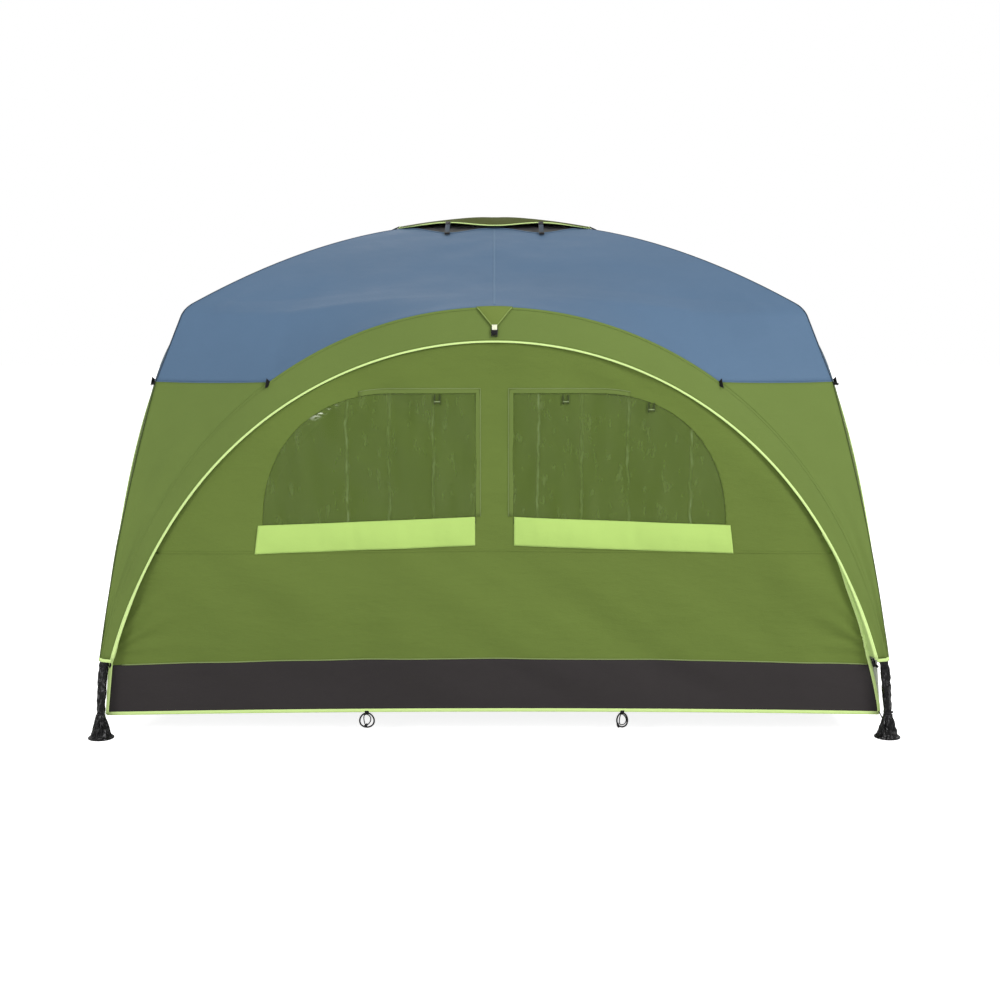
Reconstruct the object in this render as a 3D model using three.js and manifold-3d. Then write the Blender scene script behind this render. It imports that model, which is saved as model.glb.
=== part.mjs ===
// A square dome screen house: a bowed pole frame, a canopy of roof panels, arch bands and corner
// panels, four zip-in walls, a propped roof vent, arch buckles, hem rings and swivelling feet.
// Millimetres, +Z up, origin on the ground at the middle of the footprint, front wall facing -Y.
import * as THREE from "three";
import { mergeVertices } from "three/addons/utils/BufferGeometryUtils.js";
import Module from "manifold-3d";

const wasm = await Module();
wasm.setup();

// ---- driving dimensions ----
const ROOF_TOP = 2062; // height of the fabric where the four ridges would meet
const ROOF_FALL = 0.294e-3; // ridge height lost per square millimetre of half-width
const FOOT_SPREAD = 1497; // half the distance between neighbouring feet
const LEG_BOW = 0.1413; // how far a leg leans in, with heights in metres
const LEG_BOW_POWER = 1.486;
const LEG_STRAIGHT = 50; // the lowest part of a leg stands upright
const ELBOW_LEAN = 0.333; // the elbow's straight lower end leans in this much per unit of height
const SHOULDER_U = 1180; // half-width where the ridge leaves the roof curve
const SHOULDER_TURN = 27; // how far out the bend's corner lies from there
const SHOULDER_Z = 1603; // height where the bend ends
const SEAM_Z = 1350; // blue roof above, corner panel below
const SEAM_SAG = 4; // how far the corner seam hangs between its ends
const CANOPY_HEM = 300; // lower edge of the corner panels and arch bands
const ARCH_HALF = 1455; // arch opening, half-width and height of its ellipse
const ARCH_TOP = 1500;
const ARCH_TOE = 55; // the arch edge widens below this height
const ARCH_TOE_Z = 900;
const ARCH_PLANE = 1455; // distance of the arch edge from the middle, in its upper part
const ARCH_SPLAY = 55; // how much further out it stands at the ground
const BAND_HALF = 1512; // outer seam of the arch band, half-width and height
const BAND_TOP = 1630;
const BAND_PLANE = 1418; // the same two distances for the outer seam
const BAND_SPLAY = 117;
const BAND_CURL = 14; // extra inward curl at the very top
const SPLAY_Z = 1200; // both start to splay below this height
const SPLAY_POWER = 1.38;
const SHELL = 2.5; // thickness given to fabric
const SEAM_GAP = 3; // space left between neighbouring fabric pieces
const POLE_DEPTH = 21; // pole centreline below the ridge line of the fabric
const ROOF_POLE_R = 5.5;
const ELBOW_R = 9.5;
const ELBOW_BORE_R = 8;
const LEG_R = 12.5;
const LEG_BORE_R = 11.5;
const TUBE_SIDES = 6; // divisions of each half circle
const LEG_END = 24; // height of the leg's lower end, inside the foot
const HUB_R = 46;
const FOOT_R = 49;
const FOOT_H = 92;
const FOOT_NECK_R = 20;
const VENT_HALF = 400; // roof opening under the vent hood, along a ridge
const VENT_SCALLOP = 115; // extra opening under each raised lobe
const HOOD_TOP = 2100;
const HOOD_HALF = 425;
const RIM_RISE = 17; // the hood's rim above the roof at the middle of a side
const RIM_LOBE = 13; // extra rise of each lobe
const RIM_DROP = 14; // the rim comes down by this much at the ridges
const WALL_PLANE = 1448;
const WALL_T = 3;
const WALL_HEM = 94;
const WALL_INSIDE = 6; // the wall's edge lies this far inside the arch edge
const WALL_TUCK = 20; // and this much more at the ground
const WALL_TUCK_Z = 550;
const WALL_SPREAD = 1472; // half-width of the front wall at its hem
const SIDE_WALL_SPREAD = 1440; // a side wall stops behind the front wall's end
const DOOR_HALF = 430;
const DOOR_SILL = 300;
const DOOR_SPRING = 1000; // the door's arch starts here
const DOOR_TOP = 1340;
const FIT = 0.5; // gap between a pane or a door and its opening
const RING_X = 490;
const RING_R = 27.5;
const RING_WIRE_R = 2.5;
const RING_DROP = 6; // the ring's top hangs this far below the hem

const COLOURS = {
  blue: 0x607891,
  green: 0x6b823c,
  lightGreen: 0x80944f,
  charcoal: 0x3c3a3b,
  black: 0x17181a,
  steel: 0x55585c,
  mesh: 0x9aa09c,
  clear: 0x8ea27a,
};

const part = new THREE.Group();

function addMesh(name, geometry, colour, roughness = 0.8, metalness = 0) {
  const material = new THREE.MeshStandardMaterial({ color: COLOURS[colour], roughness, metalness });
  const mesh = new THREE.Mesh(geometry, material);
  mesh.name = name;
  part.add(mesh);
  return mesh;
}

// ---- joining and cutting ----
function toSolid(geometry) {
  const bare = geometry.clone();
  bare.deleteAttribute("normal");
  bare.deleteAttribute("uv");
  const merged = mergeVertices(bare, 1e-3);
  return new wasm.Manifold(
    new wasm.Mesh({
      numProp: 3,
      vertProperties: new Float32Array(merged.attributes.position.array),
      triVerts: new Uint32Array(merged.index.array),
    }),
  );
}

function toGeometry(solid) {
  const mesh = solid.getMesh();
  const geometry = new THREE.BufferGeometry();
  geometry.setAttribute("position", new THREE.BufferAttribute(mesh.vertProperties, 3));
  geometry.setIndex(new THREE.BufferAttribute(mesh.triVerts, 1));
  geometry.computeVertexNormals();
  return geometry;
}

const join = (...pieces) => toGeometry(pieces.map(toSolid).reduce((a, b) => a.add(b)));
const cut = (body, ...tools) => toGeometry(tools.map(toSolid).reduce((a, b) => a.subtract(b), toSolid(body)));

function boxAt(sx, sy, sz, x, y, z) {
  return new THREE.BoxGeometry(sx, sy, sz).translate(x, y, z);
}

// ---- the canopy's lines, all for the front side ----
const smoothstep = (x) => THREE.MathUtils.smoothstep(x, 0, 1);
const lerp = THREE.MathUtils.lerp;

const roofZ = (halfWidth) => ROOF_TOP - ROOF_FALL * halfWidth ** 2;

// Half-width of a leg's centreline at height z. Above the corner seam it runs straight.
function legU(z) {
  const bowed = Math.max(0, Math.min(z, SEAM_Z) - LEG_STRAIGHT) / 1000;
  return FOOT_SPREAD - 1000 * LEG_BOW * bowed ** LEG_BOW_POWER - ELBOW_LEAN * Math.max(0, z - SEAM_Z);
}

const FABRIC_OUT = POLE_DEPTH / Math.SQRT2; // the fabric's corner lies this far outside the leg, per axis

// The ridge of the fabric over one pole, as (half-width, height), from the vent (s = 0) over the
// shoulder to the corner seam (s = 1).
const BEND_START = 0.72;
const BEND_END = 0.84;
const shoulder = new THREE.QuadraticBezierCurve(
  new THREE.Vector2(SHOULDER_U, roofZ(SHOULDER_U)),
  new THREE.Vector2(SHOULDER_U + SHOULDER_TURN, roofZ(SHOULDER_U + SHOULDER_TURN)),
  new THREE.Vector2(legU(SHOULDER_Z) + FABRIC_OUT, SHOULDER_Z),
);

function ridge(s, start = VENT_HALF) {
  if (s < BEND_START) {
    const u = lerp(start, SHOULDER_U, s / BEND_START);
    return new THREE.Vector2(u, roofZ(u));
  }
  if (s < BEND_END) return shoulder.getPoint((s - BEND_START) / (BEND_END - BEND_START));
  const z = lerp(SHOULDER_Z, SEAM_Z, (s - BEND_END) / (1 - BEND_END));
  return new THREE.Vector2(legU(z) + FABRIC_OUT, z);
}

const splay = (z) => Math.max(0, 1 - z / SPLAY_Z) ** SPLAY_POWER;

// Outer seam of the arch band, by angle from the ground on the right (0) over the top.
const bandDepth = (z) => BAND_PLANE + BAND_SPLAY * splay(z) - BAND_CURL * (z / BAND_TOP) ** 8;
function bandSeam(angle) {
  const z = BAND_TOP * Math.sin(angle);
  return new THREE.Vector3(BAND_HALF * Math.cos(angle), -bandDepth(z), z);
}

// Free edge of the arch.
function archEdgeX(z) {
  const toe = ARCH_TOE * Math.max(0, 1 - z / ARCH_TOE_Z) ** 2;
  return ARCH_HALF * Math.sqrt(Math.max(0, 1 - (z / ARCH_TOP) ** 2)) + toe;
}
function archEdge(angle) {
  const z = ARCH_TOP * Math.sin(angle);
  const x = Math.sign(Math.cos(angle)) * archEdgeX(z);
  return new THREE.Vector3(x, -(ARCH_PLANE + ARCH_SPLAY * splay(z)), z);
}

const TAB_ANGLE = Math.asin(SEAM_Z / BAND_TOP); // where the corner seam meets the arch band
const TAB_X = bandSeam(TAB_ANGLE).x;

// Lower edge of a roof panel: the corner seams and, between them, the top of the arch band.
function roofEdge(x) {
  const side = Math.abs(x);
  if (side <= TAB_X) {
    const p = bandSeam(Math.acos(side / BAND_HALF));
    return new THREE.Vector3(x, p.y, p.z);
  }
  const corner = ridge(1).x;
  const f = (side - TAB_X) / (corner - TAB_X);
  const sag = SEAM_SAG * 4 * f * (1 - f);
  return new THREE.Vector3(x, -lerp(bandDepth(SEAM_Z), corner, f), SEAM_Z - sag);
}

// 1 a quarter of the way in from each end and 0 at the ends and the middle: the vent's lobes.
const lobe = (x, half) => Math.sin((Math.PI * Math.min(Math.abs(x), half)) / half) ** 2;

// Height of the roof panel's middle line at distance y from the centre.
const FLARE_START = 900;
const FLARE_END_SLOPE = -0.35;
function middleZ(y) {
  if (y <= FLARE_START) return roofZ(y);
  const end = bandDepth(BAND_TOP);
  const span = end - FLARE_START;
  const f = (y - FLARE_START) / span;
  const slope = -2 * ROOF_FALL * FLARE_START;
  const f2 = f * f;
  const f3 = f2 * f;
  return (
    (2 * f3 - 3 * f2 + 1) * roofZ(FLARE_START) +
    (f3 - 2 * f2 + f) * slope * span +
    (3 * f2 - 2 * f3) * BAND_TOP +
    (f3 - f2) * FLARE_END_SLOPE * span
  );
}

// One blue roof panel, t = -1..1 across and s = 0..1 from the vent down to its lower edge.
function roofPoint(t, s) {
  const edge = ridge(s);
  const middleY = lerp(VENT_HALF, bandDepth(BAND_TOP), s);
  const x = t * edge.x;
  const low = roofEdge(t * ridge(1).x);
  const corner = roofEdge(ridge(1).x);
  const crown = roofEdge(0);
  const blend = smoothstep((s - 0.45) / 0.55);
  const plain = 1 - t * t;
  const wy = lerp(plain, (low.y - corner.y) / (crown.y - corner.y), blend);
  const wz = lerp(plain, (low.z - corner.z) / (crown.z - corner.z), blend);
  const y = lerp(edge.x, middleY, wy);
  const z = lerp(edge.y, middleZ(middleY), wz);
  const scallop = VENT_SCALLOP * lobe(x, VENT_HALF) * (1 - s) ** 4;
  return new THREE.Vector3(x, -(y + scallop), z + roofZ(y + scallop) - roofZ(y));
}

// One corner panel, q = -1..1 from the front arch band round the leg to the side arch band.
function cornerPoint(q, v) {
  const f = Math.abs(q);
  const top = SEAM_Z - SEAM_SAG * 4 * f * (1 - f) - SEAM_GAP;
  const z = lerp(CANOPY_HEM, top, v);
  const u = legU(z) + FABRIC_OUT;
  const seam = bandSeam(Math.asin(z / BAND_TOP));
  const along = lerp(u, seam.x, f);
  const out = lerp(u, -seam.y, f);
  return q < 0 ? new THREE.Vector3(along, -out, z) : new THREE.Vector3(out, -along, z);
}

// One arch band, t = 0..1 from the right foot over the top to the left, w = 0 at its outer seam.
function bandPoint(t, w) {
  const seamStart = Math.asin(CANOPY_HEM / BAND_TOP);
  const edgeStart = Math.asin(CANOPY_HEM / ARCH_TOP);
  const seam = bandSeam(lerp(seamStart, Math.PI - seamStart, t));
  const edge = archEdge(lerp(edgeStart, Math.PI - edgeStart, t));
  const inset = SEAM_GAP / seam.distanceTo(edge);
  return seam.lerp(edge, Math.max(w, inset));
}

// ---- a closed sheet of fabric from a surface function: the outer face and one SHELL inside it ----
// across and down hold the stations of the grid, each from 0 to 1.
function sheet(surface, across, down, flip = false) {
  const outer = [];
  const inner = [];
  const step = 1e-3;
  const columns = across.length - 1;
  const rows = down.length - 1;
  for (const b of down)
    for (const a of across) {
      const p = surface(a, b);
      const da = surface(Math.min(1, a + step), b).sub(surface(Math.max(0, a - step), b));
      const db = surface(a, Math.min(1, b + step)).sub(surface(a, Math.max(0, b - step)));
      const normal = da.cross(db).normalize().multiplyScalar(flip ? -SHELL : SHELL);
      outer.push(p);
      inner.push(p.clone().sub(normal));
    }
  const points = [...outer, ...inner];
  const line = columns + 1;
  const under = outer.length;
  const faces = [];
  const quad = (a, b, c, d) => (flip ? faces.push(a, c, b, a, d, c) : faces.push(a, b, c, a, c, d));
  for (let j = 0; j < rows; j++)
    for (let i = 0; i < columns; i++) {
      const k = j * line + i;
      quad(k, k + 1, k + line + 1, k + line);
      quad(under + k, under + k + line, under + k + line + 1, under + k + 1);
    }
  for (let i = 0; i < columns; i++) {
    const top = rows * line + i;
    quad(i + 1, i, under + i, under + i + 1);
    quad(top, top + 1, under + top + 1, under + top);
  }
  for (let j = 0; j < rows; j++) {
    const left = j * line;
    const right = left + columns;
    quad(left, left + line, under + left + line, under + left);
    quad(right + line, right, under + right, under + right + line);
  }
  const geometry = new THREE.BufferGeometry().setFromPoints(points);
  geometry.setIndex(faces);
  geometry.computeVertexNormals();
  return geometry;
}

// ---- tubes along a pole ----
// A pole's centreline point: the ridge moved POLE_DEPTH inwards in the pole's own upright plane.
function poleLine(s, start) {
  const step = 1e-3;
  const a = ridge(Math.max(0, s - step), start);
  const b = ridge(s + step, start);
  const along = new THREE.Vector2((b.x - a.x) * Math.SQRT2, b.y - a.y).normalize();
  const p = ridge(s, start);
  const r = p.x * Math.SQRT2 + along.y * POLE_DEPTH;
  return new THREE.Vector3(r / Math.SQRT2, -r / Math.SQRT2, p.y - along.x * POLE_DEPTH);
}

function tube(points, radius, bore, steps) {
  const shape = new THREE.Shape().absarc(0, 0, radius, 0, 2 * Math.PI);
  if (bore) shape.holes.push(new THREE.Path().absarc(0, 0, bore, 0, 2 * Math.PI, true));
  return new THREE.ExtrudeGeometry(shape, {
    extrudePath: new THREE.CatmullRomCurve3(points),
    steps,
    curveSegments: TUBE_SIDES,
    bevelEnabled: false,
  });
}

const POLE_FROM = 34; // half-width where a roof pole starts, inside the hub
const POLE_TO = 0.66;
const ELBOW_FROM = 0.6;
const range = (from, to, count) => Array.from({ length: count + 1 }, (_, i) => lerp(from, to, i / count));

function roofPole() {
  return tube(range(0, POLE_TO, 7).map((s) => poleLine(s, POLE_FROM)), ROOF_POLE_R, 0, 6);
}

function elbow() {
  const line = range(ELBOW_FROM, 1, 10).map((s) => poleLine(s, POLE_FROM));
  return tube(line, ELBOW_R, ELBOW_BORE_R, 8);
}

// The leg's top slides over the elbow's straight lower end, so it follows the same line there.
const LEG_FROM = 0.97;
function leg() {
  const sleeve = range(LEG_FROM, 1, 2).map((s) => poleLine(s, POLE_FROM));
  const bowed = range(SEAM_Z - 60, LEG_STRAIGHT, 8).map((z) => new THREE.Vector3(legU(z), -legU(z), z));
  const foot = new THREE.Vector3(FOOT_SPREAD, -FOOT_SPREAD, LEG_END);
  return tube([...sleeve, ...bowed, foot], LEG_R, LEG_BORE_R, 24);
}

// ---- hub: a domed disc with four sockets ----
const HUB_ARM = 100;
const HUB_ARM_R = 12;
const HUB_ARM_IN = 12; // where an arm's inner end lies, and where its bore starts
const HUB_BORE_IN = 44;
const HUB_BORE_R = 9;
const HUB_CHAMFER = 6;
const HUB_T = 20;
function hub() {
  const z = ROOF_TOP - POLE_DEPTH - 2;
  const rod = (radius, middle, k) =>
    new THREE.CylinderGeometry(radius, radius, HUB_ARM, 12)
      .rotateZ(Math.PI / 2)
      .translate(middle, 0, 0)
      .rotateZ(Math.PI / 4 + (k * Math.PI) / 2)
      .translate(0, 0, z);
  const disc = new THREE.CylinderGeometry(HUB_R - HUB_CHAMFER, HUB_R, HUB_T, 20).rotateX(Math.PI / 2);
  const arms = [0, 1, 2, 3].map((k) => rod(HUB_ARM_R, HUB_ARM / 2 + HUB_ARM_IN, k));
  const bores = [0, 1, 2, 3].map((k) => rod(HUB_BORE_R, HUB_ARM / 2 + HUB_BORE_IN, k));
  return cut(join(disc.translate(0, 0, z), ...arms), ...bores);
}

// ---- foot: a flared, ribbed rubber cone with a blind socket for the leg ----
const FOOT_RIM = 7; // height of the flat rim round its base
const FOOT_STEP = 9; // the cone starts this far inside the rim
const FOOT_RIBS = 3;
const RIB_DEPTH = 2;
const RIB_H = 4;
function foot() {
  const bore = LEG_R + 4;
  const outline = [[0, 0], [FOOT_R, 0], [FOOT_R, FOOT_RIM]].map(([r, z]) => new THREE.Vector2(r, z));
  for (let i = 0; i <= FOOT_RIBS; i++) {
    const f = i / FOOT_RIBS;
    const z = lerp(FOOT_RIM + RIB_H, FOOT_H - 2 * RIB_H, f);
    const r = lerp(FOOT_R - FOOT_STEP, FOOT_NECK_R, Math.sqrt(f));
    outline.push(new THREE.Vector2(r, z), new THREE.Vector2(r - RIB_DEPTH, z + RIB_H));
  }
  outline.push(new THREE.Vector2(FOOT_NECK_R, FOOT_H), new THREE.Vector2(bore, FOOT_H));
  outline.push(new THREE.Vector2(bore, LEG_END - 4), new THREE.Vector2(0, LEG_END - 4));
  const cone = new THREE.LatheGeometry(outline, 14).rotateX(Math.PI / 2);
  return cone.translate(FOOT_SPREAD, -FOOT_SPREAD, 0);
}

// ---- roof vent ----
// A square cap in polar form; edge(x) gives its outline's distance out and height at offset x.
function ventSheet(half, topZ, edge, sectors, rings, thickness) {
  const surface = (a, b) => {
    const angle = a * 2 * Math.PI;
    const side = Math.round(angle / (Math.PI / 2));
    const local = angle - side * (Math.PI / 2);
    const x = half * Math.tan(local);
    const [out, z] = edge(x);
    const f = lerp(0.02, 1, b);
    const p = new THREE.Vector3(x * f, -out * f, lerp(topZ, z, f ** 1.6));
    return p.applyAxisAngle(new THREE.Vector3(0, 0, 1), side * (Math.PI / 2));
  };
  const upper = [new THREE.Vector3(0, 0, topZ)];
  const lower = [new THREE.Vector3(0, 0, topZ - thickness)];
  for (let j = 1; j <= rings; j++)
    for (let i = 0; i < sectors; i++) {
      const p = surface(i / sectors, j / rings);
      upper.push(p);
      lower.push(p.clone().setZ(p.z - thickness));
    }
  const under = upper.length;
  const at = (j, i) => 1 + (j - 1) * sectors + (i % sectors);
  const faces = [];
  for (let i = 0; i < sectors; i++) {
    faces.push(0, at(1, i), at(1, i + 1));
    faces.push(under, under + at(1, i + 1), under + at(1, i));
    for (let j = 1; j < rings; j++) {
      const [a, b, c, d] = [at(j, i), at(j + 1, i), at(j + 1, i + 1), at(j, i + 1)];
      faces.push(a, b, c, a, c, d);
      faces.push(under + a, under + c, under + b, under + a, under + d, under + c);
    }
    const [p, q] = [at(rings, i), at(rings, i + 1)];
    faces.push(p, under + p, under + q, p, under + q, q);
  }
  const geometry = new THREE.BufferGeometry().setFromPoints([...upper, ...lower]);
  geometry.setIndex(faces);
  geometry.computeVertexNormals();
  return geometry;
}

// The hood's rim touches down at each ridge and rises in a lobe on either side of each side's middle.
function ventHood() {
  const rim = (x) => {
    const rise = RIM_RISE + RIM_LOBE * lobe(x, HOOD_HALF) - RIM_DROP * (x / HOOD_HALF) ** 4;
    return [HOOD_HALF, roofZ(HOOD_HALF) + rise];
  };
  return ventSheet(HOOD_HALF, HOOD_TOP, rim, 32, 3, SHELL);
}

// The insect mesh lies inside the roof's opening and domes up under the hood.
const MESH_T = 1.5;
const MESH_INSIDE = 8;
const MESH_DOME = 14;
function ventMesh() {
  const half = VENT_HALF - MESH_INSIDE;
  const rim = (x) => {
    const out = half + (VENT_SCALLOP - MESH_INSIDE / 2) * lobe(x, half);
    return [out, roofZ(out) - 6];
  };
  return ventSheet(half, ROOF_TOP + MESH_DOME, rim, 32, 2, MESH_T);
}

// A stiff webbing prop from the roof up to the hood's rim; it pivots on its sewn lower end.
const PROP_X = 205;
const PROP_W = 20;
const PROP_T = 2.5;
const PROP_OUT = 565; // distance of the pivot from the middle
const PROP_ABOVE = 6; // height of the pivot above the roof
function ventProp(side) {
  const low = [PROP_OUT, roofZ(PROP_OUT) + PROP_ABOVE];
  const high = [HOOD_HALF + 10, roofZ(HOOD_HALF) + RIM_RISE + RIM_LOBE];
  const length = Math.hypot(high[0] - low[0], high[1] - low[1]);
  const lean = Math.atan2(low[0] - high[0], high[1] - low[1]);
  const strap = boxAt(PROP_W, PROP_T, length, 0, 0, length / 2);
  return strap.rotateX(-lean).translate(side * PROP_X, -low[0], low[1]);
}

// ---- walls: flat panels in the plane of the arch ----
function plate(shape, thickness = WALL_T) {
  const flat = new THREE.ExtrudeGeometry(shape, { depth: thickness, bevelEnabled: false, curveSegments: 10 });
  return flat.rotateX(Math.PI / 2).translate(0, -WALL_PLANE + thickness / 2, 0);
}

function wallOutline(spread) {
  const shape = new THREE.Shape();
  const right = range(0.2, 1, 11).map((f) => {
    const z = (ARCH_TOP - WALL_INSIDE) * Math.sin((f * Math.PI) / 2);
    const inside = WALL_INSIDE + WALL_TUCK * Math.max(0, 1 - z / WALL_TUCK_Z);
    return new THREE.Vector2(Math.min(spread, archEdgeX(z) - inside), z);
  });
  shape.moveTo(-spread, WALL_HEM);
  shape.lineTo(spread, WALL_HEM);
  right.forEach((p) => shape.lineTo(Math.max(p.x, 0.5), p.y));
  right.reverse().forEach((p) => shape.lineTo(-Math.max(p.x, 0.5), p.y));
  return shape;
}

// A window is square on its inner side and ends in a quarter of a squared ellipse on its outer side.
const WINDOW = { inner: 71, sill: 812, middle: 380, width: 496, height: 495, squareness: 2.2 };
function windowOutline(side, gap) {
  const { inner, sill, middle, width, height, squareness } = WINDOW;
  const shape = new THREE.Shape();
  const curve = range(0, Math.PI / 2, 10).map((a) => [
    middle + (width - gap) * Math.max(0, Math.cos(a)) ** (2 / squareness),
    sill + gap + (height - 2 * gap) * Math.sin(a) ** (2 / squareness),
  ]);
  const points = [[inner + gap, sill + gap], ...curve, [inner + gap, sill + height - gap]];
  points.forEach(([x, z], i) => (i ? shape.lineTo(side * x, z) : shape.moveTo(side * x, z)));
  return shape;
}

function frontWall() {
  const openings = [-1, 1].map((side) => plate(windowOutline(side, 0), 4 * WALL_T));
  return cut(plate(wallOutline(WALL_SPREAD)), ...openings);
}

function doorOutline(gap) {
  const half = DOOR_HALF - gap;
  const shape = new THREE.Shape();
  shape.moveTo(-half, DOOR_SILL + gap);
  shape.lineTo(half, DOOR_SILL + gap);
  range(0, Math.PI, 14).forEach((a) =>
    shape.lineTo(half * Math.cos(a), DOOR_SPRING + (DOOR_TOP - DOOR_SPRING - gap) * Math.sin(a)),
  );
  return shape;
}

const DOOR_GAP = 3;
const screenWall = () => cut(plate(wallOutline(SIDE_WALL_SPREAD)), plate(doorOutline(0), 4 * WALL_T));

// The zip slider rides on the wall beside the door's free edge.
const SLIDER_ASIDE = 8;
const SLIDER_UP = 60; // its height above the door's sill when the door is zipped open this far
function zipSlider(side) {
  const face = -WALL_PLANE - WALL_T / 2 - 0.4;
  const body = boxAt(10, 5, 16, 0, face - 2.5, 0);
  const bridge = boxAt(4, 4, 10, 0, face - 6, 0);
  const pull = boxAt(8, 2, 34, 0, face - 8.5, -16);
  return join(body, bridge, pull).translate(side * (DOOR_HALF + SLIDER_ASIDE), 0, DOOR_SILL + SLIDER_UP);
}

// ---- arch buckle: a socket on the canopy's tab and a plug on the wall's strap ----
// Built upright at the origin, the plug pushed up into the socket from below.
const BUCKLE_W = 25;
const BUCKLE_T = 8;
const BUCKLE_WALL = 1.6;
const SOCKET_H = 14;
const BAR_T = 4.5; // the bars that hold the webbing, on both halves
const BAR_H = 8;
const SLOT_H = 4;
const PRONG_PITCH = 8;
const PRONG_FIT = 1; // the prongs are this much thinner than the pocket
const BASE_H = 4;
const BUCKLE_LIFT = 2; // space between the buckle's back and the arch band
const BUCKLE_DOWN = 0.8; // the socket's mouth lies this far down the band
function webbingBar(middle) {
  const slot = boxAt(BUCKLE_W - 7, BUCKLE_T, SLOT_H, 0, 0, middle);
  return cut(boxAt(BUCKLE_W, BAR_T, BAR_H, 0, 0, middle), slot);
}
function buckleSocket() {
  const pocketW = BUCKLE_W - 2 * BUCKLE_WALL;
  const pocketT = BUCKLE_T - 2 * BUCKLE_WALL;
  const shell = boxAt(BUCKLE_W, BUCKLE_T, SOCKET_H, 0, 0, SOCKET_H / 2);
  const pocket = boxAt(pocketW, pocketT, SOCKET_H, 0, 0, SOCKET_H / 2 - BUCKLE_WALL);
  return cut(join(shell, webbingBar(SOCKET_H + BAR_H / 2 - 1)), pocket);
}
function bucklePlug() {
  const thickness = BUCKLE_T - 2 * BUCKLE_WALL - PRONG_FIT;
  const length = SOCKET_H - 2 * BUCKLE_WALL;
  const prongs = [-1, 0, 1].map((k) => boxAt(3, thickness, length, k * PRONG_PITCH, 0, length / 2 - 1));
  const base = boxAt(BUCKLE_W - 2, BUCKLE_T - 1.5, BASE_H, 0, 0, -BASE_H / 2 - 0.5);
  return join(base, webbingBar(-BASE_H - BAR_H / 2 + 1), ...prongs);
}
function onBand(geometry) {
  const seam = bandPoint(0.5, 0);
  const edge = bandPoint(0.5, 1);
  const lean = Math.atan2(seam.y - edge.y, seam.z - edge.z);
  const place = seam.lerp(edge, BUCKLE_DOWN);
  const lifted = geometry.translate(0, -BUCKLE_T / 2 - BUCKLE_LIFT, 0);
  return lifted.rotateX(-lean).translate(place.x, place.y, place.z);
}

// ---- hem ring for a ground peg, hanging in its loop ----
function pegRing(side) {
  const ring = new THREE.TorusGeometry(RING_R, RING_WIRE_R, 6, 20).rotateX(Math.PI / 2);
  return ring.translate(side * RING_X, -WALL_PLANE, WALL_HEM - RING_DROP - RING_R);
}

// ---- assembly ----
// A roof panel's rows lie closer together where the ridge bends over the shoulder.
const ROOF_ROWS = [0, 0.2, 0.4, 0.58, ...range(BEND_START, BEND_END, 4), 0.997];
const SIDES = ["front", "right", "rear", "left"];
const CORNERS = ["front_right", "rear_right", "rear_left", "front_left"];
const turn = (mesh, k) => mesh.rotateZ((k * Math.PI) / 2);

addMesh("hub", hub(), "black", 0.5);
CORNERS.forEach((corner, k) => {
  turn(addMesh(`roof_pole_${corner}`, roofPole(), "black", 0.35), k);
  turn(addMesh(`elbow_${corner}`, elbow(), "steel", 0.4, 0.8), k);
  turn(addMesh(`leg_${corner}`, leg(), "black", 0.35, 0.3), k);
  turn(addMesh(`foot_${corner}`, foot(), "black", 0.6), k);
  const panel = sheet((a, b) => cornerPoint(2 * a - 1, b), range(0, 1, 8), range(0, 1, 6));
  turn(addMesh(`corner_panel_${corner}`, panel, "green"), k);
});
SIDES.forEach((side, k) => {
  const roof = sheet((a, b) => roofPoint(2 * a - 1, b), range(0.003, 0.997, 12), ROOF_ROWS, true);
  turn(addMesh(`roof_panel_${side}`, roof, "blue"), k);
  turn(addMesh(`arch_band_${side}`, sheet(bandPoint, range(0, 1, 22), [0, 1]), "lightGreen"), k);
  turn(addMesh(`buckle_socket_${side}`, onBand(buckleSocket()), "black", 0.4), k);
  turn(addMesh(`buckle_plug_${side}`, onBand(bucklePlug()), "black", 0.4), k);
  turn(addMesh(`vent_prop_${side}_left`, ventProp(-1), "steel", 0.6), k);
  turn(addMesh(`vent_prop_${side}_right`, ventProp(1), "steel", 0.6), k);
});
addMesh("vent_hood", ventHood(), "green");
addMesh("vent_mesh", ventMesh(), "charcoal");
addMesh("front_wall", frontWall(), "green");
addMesh("window_pane_left", plate(windowOutline(-1, FIT), 1.5), "clear", 0.1);
addMesh("window_pane_right", plate(windowOutline(1, FIT), 1.5), "clear", 0.1);
turn(addMesh("rear_wall", plate(wallOutline(WALL_SPREAD)), "green"), 2);
turn(addMesh("screen_wall_right", screenWall(), "mesh"), 1);
turn(addMesh("screen_wall_left", screenWall(), "mesh"), 3);
turn(addMesh("screen_door_right", plate(doorOutline(DOOR_GAP)), "mesh"), 1);
turn(addMesh("screen_door_left", plate(doorOutline(DOOR_GAP)), "mesh"), 3);
turn(addMesh("zip_slider_right", zipSlider(-1), "black", 0.4), 1);
turn(addMesh("zip_slider_left", zipSlider(1), "black", 0.4), 3);
addMesh("peg_ring_left", pegRing(-1), "black", 0.4);
addMesh("peg_ring_right", pegRing(1), "black", 0.4);

export default part;
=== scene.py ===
import math

import bmesh
import bpy
import numpy as np
from mathutils import Euler, Matrix, Vector


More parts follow.
